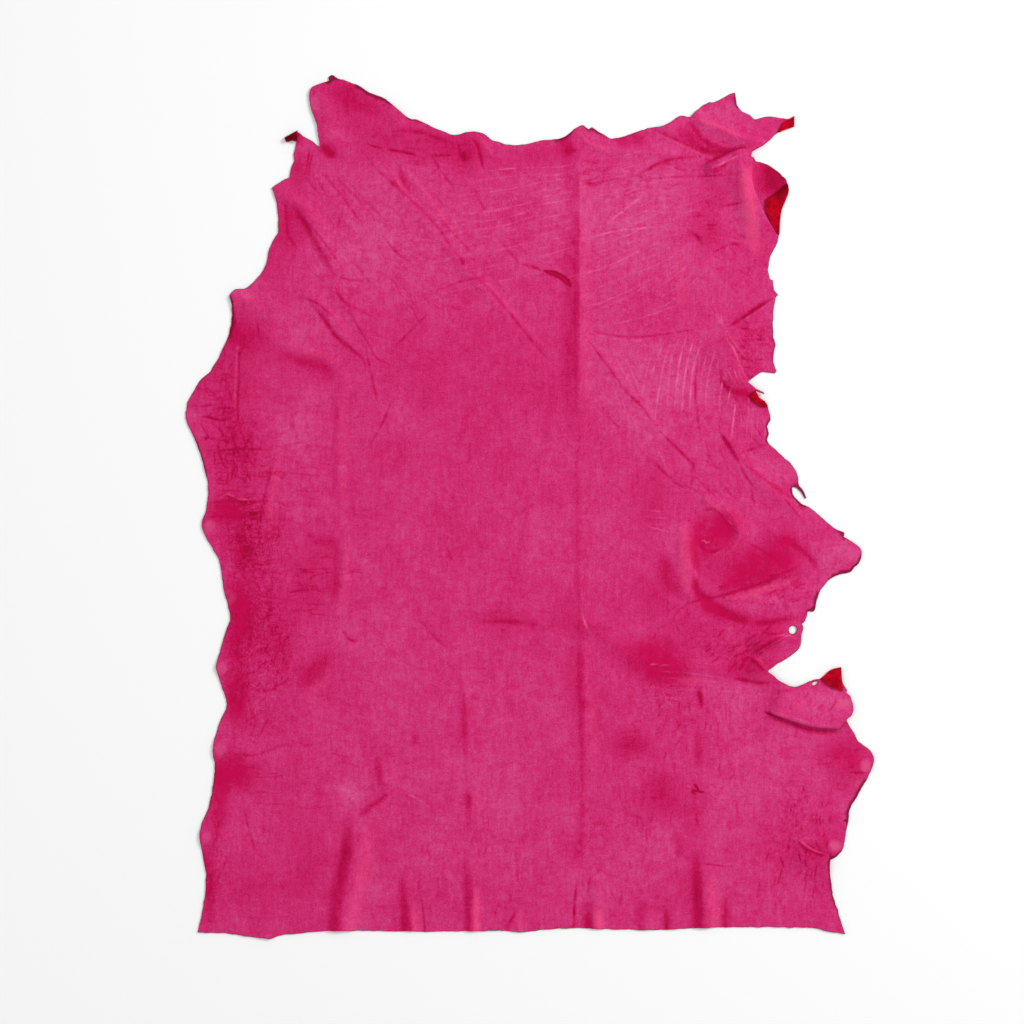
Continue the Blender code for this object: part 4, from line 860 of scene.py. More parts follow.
# Fine wrinkles are scattered over some parts. Columns: across, down, half across,
# half down, how many, length in squares, lean in degrees, scatter of the lean, tone.
WRINKLES = (
    (222, 372, 22, 42, 24, 14, 88, 12, -0.5),
    (222, 396, 24, 22, 12, 22, 2, 5, -0.5),
    (236, 452, 24, 34, 30, 16, 84, 24, -0.6),
    (240, 470, 28, 30, 26, 15, 4, 14, -0.5),
    (222, 432, 18, 22, 12, 13, 4, 12, -0.8),
    (238, 508, 34, 12, 16, 22, 2, 6, -0.8),
    (258, 556, 24, 40, 40, 10, 6, 22, -0.5),
    (262, 560, 24, 42, 26, 9, 84, 26, -0.5),
    (262, 645, 26, 50, 66, 10, 82, 26, -0.55),
    (256, 650, 22, 50, 26, 9, 10, 30, -0.5),
    (248, 706, 26, 26, 26, 11, 66, 24, -0.5),
    (322, 580, 44, 36, 14, 34, 2, 5, -0.5),
    (300, 470, 40, 50, 10, 36, 4, 8, -0.4),
    (300, 780, 60, 40, 10, 34, 2, 8, -0.35),
    (410, 250, 50, 70, 14, 36, -48, 8, -0.35),
    (340, 230, 50, 50, 12, 30, -52, 10, -0.4),
    (430, 160, 50, 16, 8, 20, -4, 8, -0.3),
    (620, 174, 60, 22, 12, 26, 8, 6, -0.5),
    (700, 160, 44, 30, 14, 20, 12, 26, -0.6),
    (715, 235, 30, 36, 14, 14, -40, 40, -0.6),
    (752, 345, 20, 36, 22, 11, -18, 20, -0.7),
    (742, 420, 24, 34, 12, 16, -70, 18, -0.6),
    (716, 478, 40, 40, 14, 20, -52, 22, -0.5),
    (708, 532, 24, 22, 16, 8, 30, 90, -0.6),
    (762, 590, 44, 22, 30, 12, 20, 14, -0.7),
    (742, 648, 34, 26, 26, 16, 34, 14, -0.6),
    (672, 622, 22, 24, 10, 14, 60, 30, -0.5),
    (700, 706, 44, 26, 26, 12, 84, 16, -0.5),
    (808, 700, 34, 14, 14, 12, 78, 26, -0.5),
    (806, 822, 28, 38, 50, 10, 82, 24, -0.6),
    (790, 880, 36, 40, 26, 16, 84, 10, -0.6),
    (690, 800, 60, 60, 22, 16, 86, 10, -0.5),
    (610, 830, 50, 70, 16, 20, 88, 8, -0.4),
    (480, 880, 90, 40, 16, 22, 88, 8, -0.4),
    (840, 765, 22, 24, 10, 12, 20, 40, -0.5),
    (215, 870, 14, 44, 12, 18, 86, 8, -0.6),
)

# Where the dye took darker (below nought) or the grain is rubbed paler, and how red it is;
# two rows by the roll are painted shade and painted highlight instead.
# Columns: across, down, half across, half down, lean in degrees, tone, redness.
PATCHES = (
    (228, 370, 32, 60, 0, -0.40, 0.2),
    (232, 460, 30, 56, 0, -0.45, 0.2),
    (228, 513, 20, 14, 0, -0.85, 0.9),
    (242, 550, 13, 20, 0, -0.70, 0.45),
    (241, 612, 12, 32, 8, -0.85, 1.0),
    (234, 648, 8, 24, 10, -0.50, 0.6),
    (237, 700, 14, 28, 0, -0.75, 0.9),
    (233, 772, 26, 20, 0, -1.00, 1.0),
    (219, 806, 10, 32, 0, -0.65, 0.8),
    (208, 876, 8, 48, 0, -0.60, 0.7),
    (262, 600, 46, 90, 0, -0.30, 0.1),
    (316, 580, 22, 48, 0, -0.40, 0.4),
    (318, 664, 28, 16, 40, -0.40, 0.3),
    (285, 875, 58, 56, 0, -0.30, 0.0),
    (312, 850, 24, 26, 0, -0.25, 0.2),
    (350, 96, 30, 13, -25, -0.80, 0.5),
    (368, 120, 34, 20, -10, -0.45, 0.2),
    (432, 147, 62, 17, -5, -0.60, 0.3),
    (470, 150, 14, 20, 0, -0.35, 0.2),
    (536, 156, 46, 14, 8, -0.40, 0.1),
    (328, 151, 13, 9, -35, -0.60, 0.5),
    (300, 170, 14, 18, 0, -0.55, 0.6),
    (290, 225, 22, 30, 0, -0.60, 0.5),
    (275, 262, 20, 24, 0, -0.30, 0.0),
    (248, 335, 26, 18, 0, -0.55, 0.3),
    (300, 362, 42, 13, -20, -0.50, 0.2),
    (232, 328, 7, 12, 0, -0.80, 0.8),
    (455, 365, 72, 60, 0, -0.28, 0.1),
    (478, 470, 52, 48, 0, -0.20, 0.1),
    (542, 382, 38, 42, 0, -0.25, 0.1),
    (380, 480, 60, 60, 0, -0.12, 0.0),
    (710, 195, 22, 28, 0, -0.42, 0.2),
    (708, 238, 20, 18, 0, -0.48, 0.3),
    (566, 145, 8, 16, 0, -0.70, 0.6),
    (652, 503, 32, 34, 0, -0.32, 0.2),
    (712, 530, 25, 20, 0, -0.80, 0.9),
    (729, 524, 14, 13, 0, -0.45, 0.5),
    (703, 552, 14, 20, 20, -0.45, 0.5),
    (752, 566, 34, 22, 10, -0.75, 0.8),
    (786, 556, 24, 22, 10, -0.60, 0.6),
    (738, 583, 26, 9, 18, -0.45, 0.6),
    (712, 607, 20, 9, -25, -0.55, 0.9),
    (745, 618, 34, 8, -10, -0.45, 0.5),
    (770, 636, 24, 12, 0, -0.50, 0.4),
    (745, 672, 36, 10, 0, -0.35, 0.2),
    (652, 648, 24, 18, 0, -0.40, 0.6),
    (664, 668, 26, 22, 0, -0.40, 0.6),
    (515, 622, 56, 12, -5, -0.35, 0.1),
    (600, 636, 56, 13, -27, -0.45, 0.2),
    (655, 672, 44, 14, -20, -0.45, 0.3),
    (690, 640, 34, 30, 0, -0.30, 0.2),
    (640, 600, 40, 26, 0, -0.20, 0.1),
    (600, 760, 16, 90, 0, -0.16, 0.0),
    (575, 700, 8, 120, 0, -0.22, 0.0),
    (664, 800, 20, 30, 0, -0.35, 0.1),
    (694, 836, 13, 60, 0, -0.60, 0.2),
    (745, 660, 30, 18, 0, -0.45, 0.4),
    (660, 585, 18, 34, 0, -0.35, 0.2),
    (845, 757, 26, 22, 0, -0.60, 0.7),
    (825, 852, 18, 20, 0, -0.40, 0.3),
    (629, 744, 18, 13, 0, -0.80, 0.4),
    (745, 395, 20, 8, -20, -0.60, 0.8),
    (785, 540, 10, 8, 0, -0.30, 0.6),
    # Painted shade on the flap's grain, under the roll.
    (776, 178, 17, 22, 0, -2.00, 0.5),
    (291, 137, 9, 7, 0, -2.20, 0.0),
    (791, 123, 8, 8, 0, -0.60, 0.0),
    (822, 684, 9, 8, 0, -0.40, 0.0),
    (773, 226, 8, 12, 0, -0.35, 0.0),
    (416, 840, 18, 14, 0, -0.15, 0.1),
    (349, 794, 11, 9, -30, 0.90, 0.0),
    # Painted highlight widening the roll's lit crest.
    (744, 212, 11, 34, 0, 0.15, 0.0),
    (430, 250, 50, 60, 0, 0.20, 0.0),
    (652, 798, 26, 26, 0, -0.55, 0.2),
    (430, 740, 30, 16, 0, -0.20, 0.1),
    (396, 800, 30, 60, 0, -0.10, 0.0),
    (620, 215, 90, 60, 0, 0.45, 0.0),
    (655, 385, 60, 60, 0, 0.38, 0.0),
    (760, 470, 26, 20, 0, 0.25, 0.0),
    (836, 556, 22, 15, 0, 0.45, 0.0),
    (770, 603, 36, 9, 12, 0.30, 0.0),
    (700, 690, 50, 14, 0, 0.20, 0.0),
    (750, 760, 60, 50, 0, 0.20, 0.0),
    (452, 770, 90, 90, 0, 0.12, 0.0),
    (645, 850, 80, 60, 0, 0.18, 0.0),
    (302, 430, 28, 24, 0, 0.35, 0.0),
    (305, 512, 24, 10, 0, 0.20, 0.0),
    (830, 700, 22, 16, 0, 0.35, 0.0),
    (725, 110, 26, 14, 0, 0.15, 0.0),
    (245, 296, 14, 7, -10, 0.60, 0.0),
    (360, 240, 50, 56, 0, 0.35, 0.0),
)

# Marks of the drying frame's clamps. Columns: across, down, half across, half down, strength.
CLAMPS = (
    (191.5, 413.0, 5.5, 6.0, 0.6),
    (210.0, 526.0, 6.0, 5.5, 0.8),
    (222.0, 668.0, 5.0, 6.5, 0.9),
    (220.5, 749.5, 6.0, 6.5, 0.8),
    (206.5, 837.0, 5.0, 6.5, 0.9),
    (231.5, 598.0, 4.0, 9.0, 0.5),
    (866.0, 766.0, 5.0, 6.5, 1.4),
    (858.5, 784.0, 5.0, 5.5, 0.5),
    (834.6, 845.0, 6.0, 5.5, 1.5),
    (844.5, 703.5, 7.0, 6.0, 1.3),
    (790.0, 473.0, 4.0, 6.5, 0.6),
    (855.0, 557.0, 5.5, 6.0, 0.35),
    (315.0, 104.0, 5.0, 8.0, 0.8),
)

# Where the skin is finely crackled. Columns: across, down, half across, half down, strength.
CRACKLED = (
    (246, 450, 30, 34, 0.5),
    (252, 545, 30, 40, 1.0),
    (258, 640, 32, 70, 0.8),
    (252, 715, 26, 30, 0.55),
    (795, 828, 22, 32, 0.55),
    (720, 640, 34, 28, 0.3),
    (770, 585, 40, 24, 0.6),
    (212, 880, 16, 40, 0.5),
    (760, 350, 18, 30, 0.6),
    (668, 700, 34, 26, 0.6),
)

# Where the dark line along the rim is wider: the raw edge shows more from above, with painted
# shade at the rim. Columns: across, down, reach, strength.
RAW_EDGE_AND_SHADE_PLACES = (
    (332, 77, 8, 1.0),
    (372, 96, 26, 1.0),
    (413, 119, 10, 0.8),
    (474, 132, 12, 0.6),
    (565, 136, 12, 0.9),
    (594, 130, 10, 0.9),
    (231, 318, 26, 1.0),
    (212, 372, 26, 0.7),
    (203, 455, 28, 0.8),
    (226, 635, 20, 0.6),
    (213, 790, 34, 0.7),
    (204, 870, 36, 0.6),
    (775, 345, 30, 0.7),
    (768, 430, 16, 0.9),
    (800, 495, 14, 1.0),
    (842, 534, 6, 0.9),
    (848, 571, 24, 1.0),
    (816, 604, 14, 1.0),
    (848, 800, 34, 1.0),
    (832, 858, 12, 1.0),
    (832, 885, 40, 0.8),
    (270, 937, 30, 0.5),
    (784, 170, 14, 0.8),
    (735, 100, 8, 0.9),
)

def smooth(share):
    """An eased step from 0 to 1."""
    share = np.clip(share, 0.0, 1.0)
    return share * share * (3 - 2 * share)


def rounded(places, corners, spacing):
    """Walk a smooth line through the places; corners stay sharp."""
    places = [np.array(p, float) for p in places]
    walk = [places[0]]
    for i in range(len(places) - 1):
        here, there = places[i], places[i + 1]
        before = here * 2 - there if corners[i] or i == 0 else places[i - 1]
        last = i + 2 > len(places) - 1
        after = there * 2 - here if corners[i + 1] or last else places[i + 2]
        span = np.linalg.norm(there - here)
        lead = (there - before) / max(np.linalg.norm(there - before), 1e-9) * span
        tail = (after - here) / max(np.linalg.norm(after - here), 1e-9) * span
        parts = max(1, math.ceil(span / spacing))
        for k in range(1, parts + 1):
            t = k / parts
            walk.append((2 * t ** 3 - 3 * t ** 2 + 1) * here + (t ** 3 - 2 * t ** 2 + t) * lead
                        + (3 * t ** 2 - 2 * t ** 3) * there + (t ** 3 - t ** 2) * tail)
    return np.array(walk)


def through(row, spacing):
    """A smooth line through a row of places."""
    return rounded([place(*p) for p in row], [False] * len(row), spacing)


def along_line(line, places, reach):
    """Distance to a line of points and share of its length, for the places within reach."""
    low, high = line.min(0) - reach, line.max(0) + reach
    near = np.flatnonzero(((places > low) & (places < high)).all(1))
    if not len(near):
        return near, np.zeros(0), np.zeros(0)
    starts, spans = line[:-1], np.diff(line, axis=0)
    size = np.maximum((spans ** 2).sum(1), 1e-18)
    steps = np.concatenate([[0], np.cumsum(np.sqrt(size))])
    best, share = np.full(len(near), 9.0), np.zeros(len(near))
    for k in range(len(starts)):
        t = np.clip(((places[near] - starts[k]) @ spans[k]) / size[k], 0, 1)
        gap = np.linalg.norm(places[near] - starts[k] - t[:, None] * spans[k], axis=1)
        closer = gap < best
        best = np.where(closer, gap, best)
        share = np.where(closer, (steps[k] + t * (steps[k + 1] - steps[k])) / steps[-1], share)
    return near, best, share


FOLD_FLAT = 0.004


class Fold:
    """One pressed-over fold: its visible edge, its section and how far it lifts the upper side."""

    def __init__(self, lower, bend, reach, edge, shape):
        self.lower, self.bend, self.reach, self.shape = lower, bend, reach, shape
        self.line = through(edge, FOLD_SPACING)
        steps = np.linalg.norm(np.diff(self.line, axis=0), axis=1)
        self.along = np.concatenate([[0.0], np.cumsum(steps)])
        self.length = self.along[-1]
        ways = np.gradient(self.line, axis=0)
        self.ways = ways / np.linalg.norm(ways, axis=1)[:, None]
        self.towards_lower = np.stack([-self.ways[:, 1], self.ways[:, 0]], 1) * lower

    def section(self, along):
        """Turn, and leather between the two turns, at a distance along the edge."""
        shares = [row[0] for row in self.shape]
        share = np.asarray(along) / self.length
        turn = np.radians(np.interp(share, shares, [row[1] for row in self.shape]))
        flat = np.interp(share, shares, [row[2] for row in self.shape]) / 1000
        return turn, flat

    def rise(self, along):
        """Height of the upper side over the lower one."""
        turn, flat = self.section(along)
        return 2 * self.bend * (1 - np.cos(turn)) + flat * np.sin(turn)

    def lift(self, places, side):
        """How far the fold raises each place, from its edge out to its reach."""
        amount = np.zeros(len(places))
        if side == "lower":
            return amount
        low, high = self.line.min(0) - self.reach, self.line.max(0) + self.reach
        near = np.flatnonzero(((places > low) & (places < high)).all(1))
        if not len(near):
            return amount
        spots = places[near]
        starts, spans = self.line[:-1], np.diff(self.line, axis=0)
        size = (spans ** 2).sum(1)
        share = np.clip(((spots[:, None] - starts) * spans).sum(2) / size, 0, 1)
        foot = starts + share[..., None] * spans
        gap = np.linalg.norm(spots[:, None] - foot, axis=2)
        pick = gap.argmin(1)
        rows = np.arange(len(spots))
        along = self.along[pick] + share[rows, pick] * np.sqrt(size[pick])
        past_end = (spots - self.line[-1]) @ self.ways[-1]
        past_start = (self.line[0] - spots) @ self.ways[0]
        over = np.maximum(np.maximum(past_end * (along >= self.length - 1e-9), 0),
                          past_start * (along <= 1e-9))
        across = np.sqrt(np.maximum(gap[rows, pick] ** 2 - over ** 2, 0))
        away = spots - foot[rows, pick]
        ways = spans[pick] / np.sqrt(size[pick])[:, None]
        lower_hand = (-ways[:, 1] * away[:, 0] + ways[:, 0] * away[:, 1]) * self.lower
        fall = 1 - smooth((across - FOLD_FLAT) / (self.reach - FOLD_FLAT))
        fall = fall * (1 - smooth(over / self.reach))
        part = self.rise(along) * fall
        if side == "either":
            part = np.where((lower_hand > 1e-7) & (over <= 0), 0.0, part)
        amount[near] = part
        return amount


FOLD = {name: Fold(**sizes) for name, sizes in FOLDS.items()}

# Which regions of the sheet lie on the lower or the upper side of each fold.
SIDES = {
    "body": {"tongue": "lower"},
    "tongue": {"tongue": "upper"},
    "flap": {"roll": "lower", "ear": "lower", "tongue": "lower"},
    "ear": {"ear": "lower", "tongue": "lower"},
    "throat": {"throat": "lower", "tongue": "lower"},
    "lobe": {"lobe top": "lower", "lobe foot": "lower", "tongue": "lower"},
    "leg": {"dart": "lower", "tongue": "lower"},
}

draw = np.random.default_rng(11)
LONG_WAVES = [(draw.uniform(0.07, 0.26), draw.uniform(0, math.tau), draw.uniform(0, math.tau))
              for _ in range(14)]
SHORT_WAVES = [(draw.uniform(0.014, 0.045), draw.uniform(0, math.tau), draw.uniform(0, math.tau))
               for _ in range(26)]


def waves(places, table):
    """Uneven drying: the sum of many faint ripples, about -1 to 1."""
    total = np.zeros(len(places))
    for length, way, start in table:
        total += np.sin((places[:, 0] * math.cos(way) + places[:, 1] * math.sin(way))
                        * math.tau / length + start)
    return total / math.sqrt(len(table))


swells = [(tall / 1000, SWELL_WIDTH * half * SQUARE, through(row, 0.02))
          for tall, half, row in SWELLS]


def swell_height(places):
    """Height of all the swells together."""
    height = np.zeros(len(places))
    for tall, half, line in swells:
        near, gap, share = along_line(line, places, half)
        beside = np.clip(gap / half, 0, 1)
        fade = smooth(share / 0.15) * smooth((1 - share) / 0.3)
        height[near] += SWELL_RELIEF * tall * (1 - beside ** 2) ** 2 * fade
    return height


def lifted(region, places):
    """How far the pressed folds raise a region."""
    return sum(fold.lift(places, SIDES[region].get(name, "either"))
               for name, fold in FOLD.items())


# Beside a seam a region takes up the body's height, and eases to its own over a short way.
SEAM_REACH = 0.020
LONG_RIPPLE, SHORT_RIPPLE = 0.00035, 0.00008
LYING_FLAT = 0.0004
SEAMS = {"tongue": SEAM_TONGUE, "ear": SEAM_EAR, "throat": SEAM_THROAT, "lobe": SEAM_LOBE,
         "leg": SEAM_DART}
easing = {}
for region, row in SEAMS.items():
    line = through(row, 0.003)
    walked = np.linalg.norm(np.diff(line, axis=0), axis=1).cumsum()
    share = np.concatenate([[0], walked / walked[-1]])
    easing[region] = line, share, lifted("body", line) - lifted(region, line)


def surface(region, places):
    """Height of the middle of the leather over the floor, for places in one region."""
    places = np.atleast_2d(np.asarray(places, float))
    height = swell_height(places)
    height = height + LONG_RIPPLE * waves(places, LONG_WAVES)
    height = height + SHORT_RIPPLE * waves(places, SHORT_WAVES)
    height = (height + np.sqrt(height ** 2 + LYING_FLAT ** 2)) / 2 + lifted(region, places)
    if region in easing:
        line, shares, step = easing[region]
        near, gap, share = along_line(line, places, SEAM_REACH)
        height[near] += np.interp(share, shares, step) * (1 - smooth(gap / SEAM_REACH))
    return FLAT_HEIGHT + height


# Every crease, growth line and wrinkle, as relief, half width, tone and line.
GROWTH_RELIEF = 0.00025
WRINKLE_RELIEF, WRINKLE_HALF = -0.0004, 0.8
pressed = [(relief / 1000, half * SQUARE, tone, through(row, LINE_SPACING))
           for relief, half, tone, row in CREASES]
for first, last, count, half, tone in GROWTH_LINES:
    for k in range(count):
        share = k / max(count - 1, 1)
        row = [tuple(np.array(a) * (1 - share) + np.array(b) * share + draw.uniform(-1.2, 1.2, 2))
               for a, b in zip(first, last)]
        pressed.append((GROWTH_RELIEF, half * SQUARE, tone * draw.uniform(0.5, 1.1),
                        through(row, LINE_SPACING)))

for across, down, wide, tall, count, length, lean, scatter, tone in WRINKLES:
    for _ in range(count):
        turn, reach = draw.uniform(0, math.tau), math.sqrt(draw.uniform(0, 1))
        middle = np.array([across + wide * reach * math.cos(turn),
                           down + tall * reach * math.sin(turn)])
        way = math.radians(lean + draw.uniform(-scatter, scatter))
        ahead = np.array([math.cos(way), -math.sin(way)]) * length * draw.uniform(0.5, 1.2) / 2
        aside = np.array([-ahead[1], ahead[0]])
        row = [middle - ahead, middle - ahead / 3 + aside * draw.uniform(-0.25, 0.25),
               middle + ahead / 3 + aside * draw.uniform(-0.25, 0.25), middle + ahead]
        strength = draw.uniform(0.5, 1.0)
        pressed.append((WRINKLE_RELIEF * strength, WRINKLE_HALF * SQUARE, tone * strength,
                        through([tuple(p) for p in row], LINE_SPACING)))


CREASE_FOOT = 1.9
NARROW_TONE = 1.5


def crease_marks(places):
    """Relief of the grain side, dark lines of pooled dye and painted shade, pale lines of wear and
    painted highlight, and lit crests, for places in plan.
    """
    relief, dark, worn, crest = (np.zeros(len(places)) for _ in range(4))
    uneven = 0.75 + 0.35 * waves(places, SHORT_WAVES)
    for deep, half, tone, line in pressed:
        near, gap, share = along_line(line, places, CREASE_FOOT * half)
        taper = np.sqrt(smooth(share / 0.3) * smooth((1 - share) / 0.3))
        reach = half * (0.6 + 1.3 * taper)
        crown = (1 - np.clip(gap / reach, 0, 1) ** 2) ** 2
        relief[near] += CREASE_RELIEF * deep * crown * taper
        shade = abs(tone) * CREASE_TONE * (1 - np.clip(1.2 * gap / reach, 0, 1) ** 2) ** 2
        patchy = min(max((3.4 - half / SQUARE) / 1.6, 0.15), 1.0)
        shade = shade * taper * (1 + patchy * (np.clip(uneven[near], 0.45, 1.15) - 1))
        # Dark rows carry pooled dye and painted shade; narrow pale rows carry wear and painted
        # highlight along fold edges, and wide pale rows painted highlight on lit crests.
        side = dark if tone < 0 else worn if half < NARROW_TONE * SQUARE else crest
        side[near] = np.maximum(side[near], shade)
    return relief, dark, worn, crest


def spread(places, rows):
    """Each place in every oval of a table, in shares of the oval's two half widths."""
    found = []
    for across, down, wide, tall, lean in rows:
        gap = (places - np.array(place(across, down))) / SQUARE
        turn = math.radians(lean)
        u = (gap[:, 0] * math.cos(turn) + gap[:, 1] * math.sin(turn)) / wide
        v = (gap[:, 1] * math.cos(turn) - gap[:, 0] * math.sin(turn)) / tall
        found.append((u, v))
    return found


def bloom(u, v):
    """1 in the middle of an oval, fading to nothing past its edge."""
    return np.exp(-1.1 * (u * u + v * v) ** 1.3)


# The middle of the sheet is gathered here: its points, its triangles and the points in bends.
points = []
faces = []
bent = set()


def add(x, y, z):
    points.append((float(x), float(y), float(z)))
    return len(points) - 1


def add_on(region, places):
    """Points on the surface of one region."""
    return [add(x, y, z) for (x, y), z in zip(places, surface(region, places))]


EDGE_RIPPLE, EDGE_FRAY = 0.00042, 0.00018


def stretch(region, table, first=True, last=True):
    """Points along one named stretch of the edge, slightly ragged between its ends."""
    walk = rounded([place(row[0], row[1]) for row in table], [row[2] == "c" for row in table],
                   EDGE_SPACING)
    inner = walk[1:-1]
    way = walk[2:] - walk[:-2]
    out = np.stack([way[:, 1], -way[:, 0]], 1)
    out = out / np.maximum(np.linalg.norm(way, axis=1), 1e-9)[:, None]
    ragged = EDGE_RIPPLE * waves(inner, SHORT_WAVES)
    ragged = ragged + EDGE_FRAY * draw.standard_normal(len(inner))
    walk[1:-1] = inner + out * ragged[:, None]
    walk = walk if first else walk[1:]
    walk = walk if last else walk[:-1]
    return add_on(region, walk)


def seam(start, table, end):
    """Points between two that exist already."""
    walk = through(table, OPEN_SPACING)
    return [start] + add_on("body", walk[1:-1]) + [end]


def quads(rows):
    """Join neighbouring rows of points; a row may have closed up to one point."""
    for one, two in zip(rows[:-1], rows[1:]):
        for k in range(len(one) - 1):
            corners = [one[k], two[k], two[k + 1], one[k + 1]]
            ring = [c for i, c in enumerate(corners) if c != corners[i - 1]]
            if len(ring) == 4:
                faces.append((ring[0], ring[1], ring[2]))
                faces.append((ring[0], ring[2], ring[3]))
            elif len(ring) == 3:
                faces.append(tuple(ring))


def press(name, upper_region, lower_region, start=None):
    """Build one fold; returns its border on the upper side and on the lower side."""
    fold = FOLD[name]
    rows = []
    for i, along in enumerate(fold.along):
        turn, flat = (float(v) for v in fold.section(along))
        towards = fold.towards_lower[i]
        if turn < 1e-6:
            spot = start if i == 0 and start is not None else add_on(upper_region, [fold.line[i]])[0]
            rows.append([spot] * (2 * BEND_STEPS + 2))
            continue
        r = fold.bend
        set_in = r * math.sin(min(turn, math.pi / 2))
        out, drop = [], []
        for k in range(BEND_STEPS + 1):
            a = turn * k / BEND_STEPS
            out.append(r * math.sin(a))
            drop.append(r * (1 - math.cos(a)))
        far = out[-1] + flat * math.cos(turn)
        low = drop[-1] + flat * math.sin(turn)
        for k in range(BEND_STEPS + 1):
            a = turn * (1 - k / BEND_STEPS)
            out.append(far + r * (math.sin(turn) - math.sin(a)))
            drop.append(low + r * (math.cos(a) - math.cos(turn)))
        spots = [fold.line[i] + towards * (o - set_in) for o in out]
        top = surface(upper_region, [spots[0]])[0]
        foot = surface(lower_region, [spots[-1]])[0]
        row = [add(s[0], s[1], top + (foot - top) * d / drop[-1])
               for s, d in zip(spots, drop)]
        bent.update(row)
        rows.append(row)
    quads(rows if fold.lower > 0 else [row[::-1] for row in rows])
    return [row[0] for row in rows], [row[-1] for row in rows]


TURNED_SAG = 0.0003


def turn_over(region, table):
    """Turn a stretch of the rim up and over; returns the border that it shares with the hide."""
    fold_line = through([row[:2] for row in table], FOLD_SPACING)
    marks = [0.0]
    for one, two in zip(table[:-1], table[1:]):
        marks.append(marks[-1] + math.dist(place(*one[:2]), place(*two[:2])))
    walked = np.concatenate([[0], np.cumsum(np.linalg.norm(np.diff(fold_line, axis=0), axis=1))])
    share = walked / walked[-1] * marks[-1]
    free = np.stack([np.interp(share, marks, [place(row[2], row[3])[k] for row in table])
                     for k in (0, 1)], 1)
    r = PRESSED_BEND
    rows = []
    for spot, rim in zip(fold_line, free):
        reach = np.linalg.norm(rim - spot)
        if reach < 1e-6:
            rows.append([add_on(region, [spot])[0]] * (2 * BEND_STEPS + 3))
            continue
        inward = (rim - spot) / reach
        turn = math.pi * min(1.0, reach / r)
        flat = max(reach - r, 0.0)
        base = spot + inward * r * math.sin(min(turn, math.pi / 2))
        spots, lifts = [], []
        for k in range(2 * BEND_STEPS + 1):
            a = turn * k / (2 * BEND_STEPS)
            spots.append(base - inward * r * math.sin(a))
            lifts.append(r * (1 - math.cos(a)))
        for part in (0.5, 1.0):
            spots.append(base + inward * flat * part)
            lifts.append(r * (1 - math.cos(turn)) - TURNED_SAG * part)
        row = [add(x, y, z + lift)
               for (x, y), z, lift in zip(spots, surface(region, spots), lifts)]
        bent.update(row)
        rows.append(row)
    quads([row[::-1] for row in rows])
    return [row[0] for row in rows]


def inside(loop, places):
    """Which places lie inside a closed loop."""
    hit = np.zeros(len(places), bool)
    for one, two in zip(loop, np.roll(loop, -1, axis=0)):
        if one[1] == two[1]:
            continue
        crosses = (one[1] > places[:, 1]) != (two[1] > places[:, 1])
        hit ^= crosses & (places[:, 0] < one[0] + (places[:, 1] - one[1])
                          / (two[1] - one[1]) * (two[0] - one[0]))
    return hit


def thin_out(taken, groups):
    """Keep places group by group, each no nearer than its group's gap to those kept before."""
    cell = 0.004
    kept, boxes = [], {}

    def key(x, y):
        return int(x // cell), int(y // cell)

    for x, y in taken:
        boxes.setdefault(key(x, y), []).append((x, y))
    for places, gap in groups:
        for x, y in places:
            i, j = key(x, y)
            close = any(math.hypot(x - u, y - v) < gap
                        for a in (i - 1, i, i + 1) for b in (j - 1, j, j + 1)
                        for u, v in boxes.get((a, b), ()))
            if not close:
                kept.append((x, y))
                boxes.setdefault((i, j), []).append((x, y))
    return np.array(kept) if kept else np.zeros((0, 2))


WIDE_CREASE, THIN_CREASE = 2.7 * SQUARE, 1.05 * SQUARE


def crease_rows():
    """Places on and beside each narrow crease, so that the mesh can follow its section."""
    middles, sides = [], []
    for _, half, _, line in pressed:
        if half > WIDE_CREASE:
            continue
        way = np.gradient(line, axis=0)
        way /= np.maximum(np.linalg.norm(way, axis=1), 1e-9)[:, None]
        side = np.stack([-way[:, 1], way[:, 0]], 1)
        middles.append(line)
        offsets = (-CREASE_FOOT, CREASE_FOOT)
        if half >= THIN_CREASE:
            offsets = (-1.0, 1.0) + offsets
        sides += [line + side * half * k for k in offsets]
    return np.concatenate(middles), np.concatenate(sides)


CREASE_MIDDLES, CREASE_SIDES = crease_rows()
FOLD_ZONE = 0.022
SWOLLEN = 0.0010
BESIDE_EDGE = 0.0024
HEX_ROW = 0.866


def hex_grid(low, high, pitch):
    """Evenly spread places over a box, every other row set in by half a pitch."""
    down = np.arange(int((high[1] - low[1]) / (pitch * HEX_ROW)) + 2)
    across = np.arange(int((high[0] - low[0]) / pitch) + 2)
    x = low[0] + (across[None, :] + 0.5 * (down[:, None] % 2)) * pitch
    y = low[1] + down[:, None] * pitch * HEX_ROW + 0 * x
    return np.stack([x.ravel(), y.ravel()], 1)


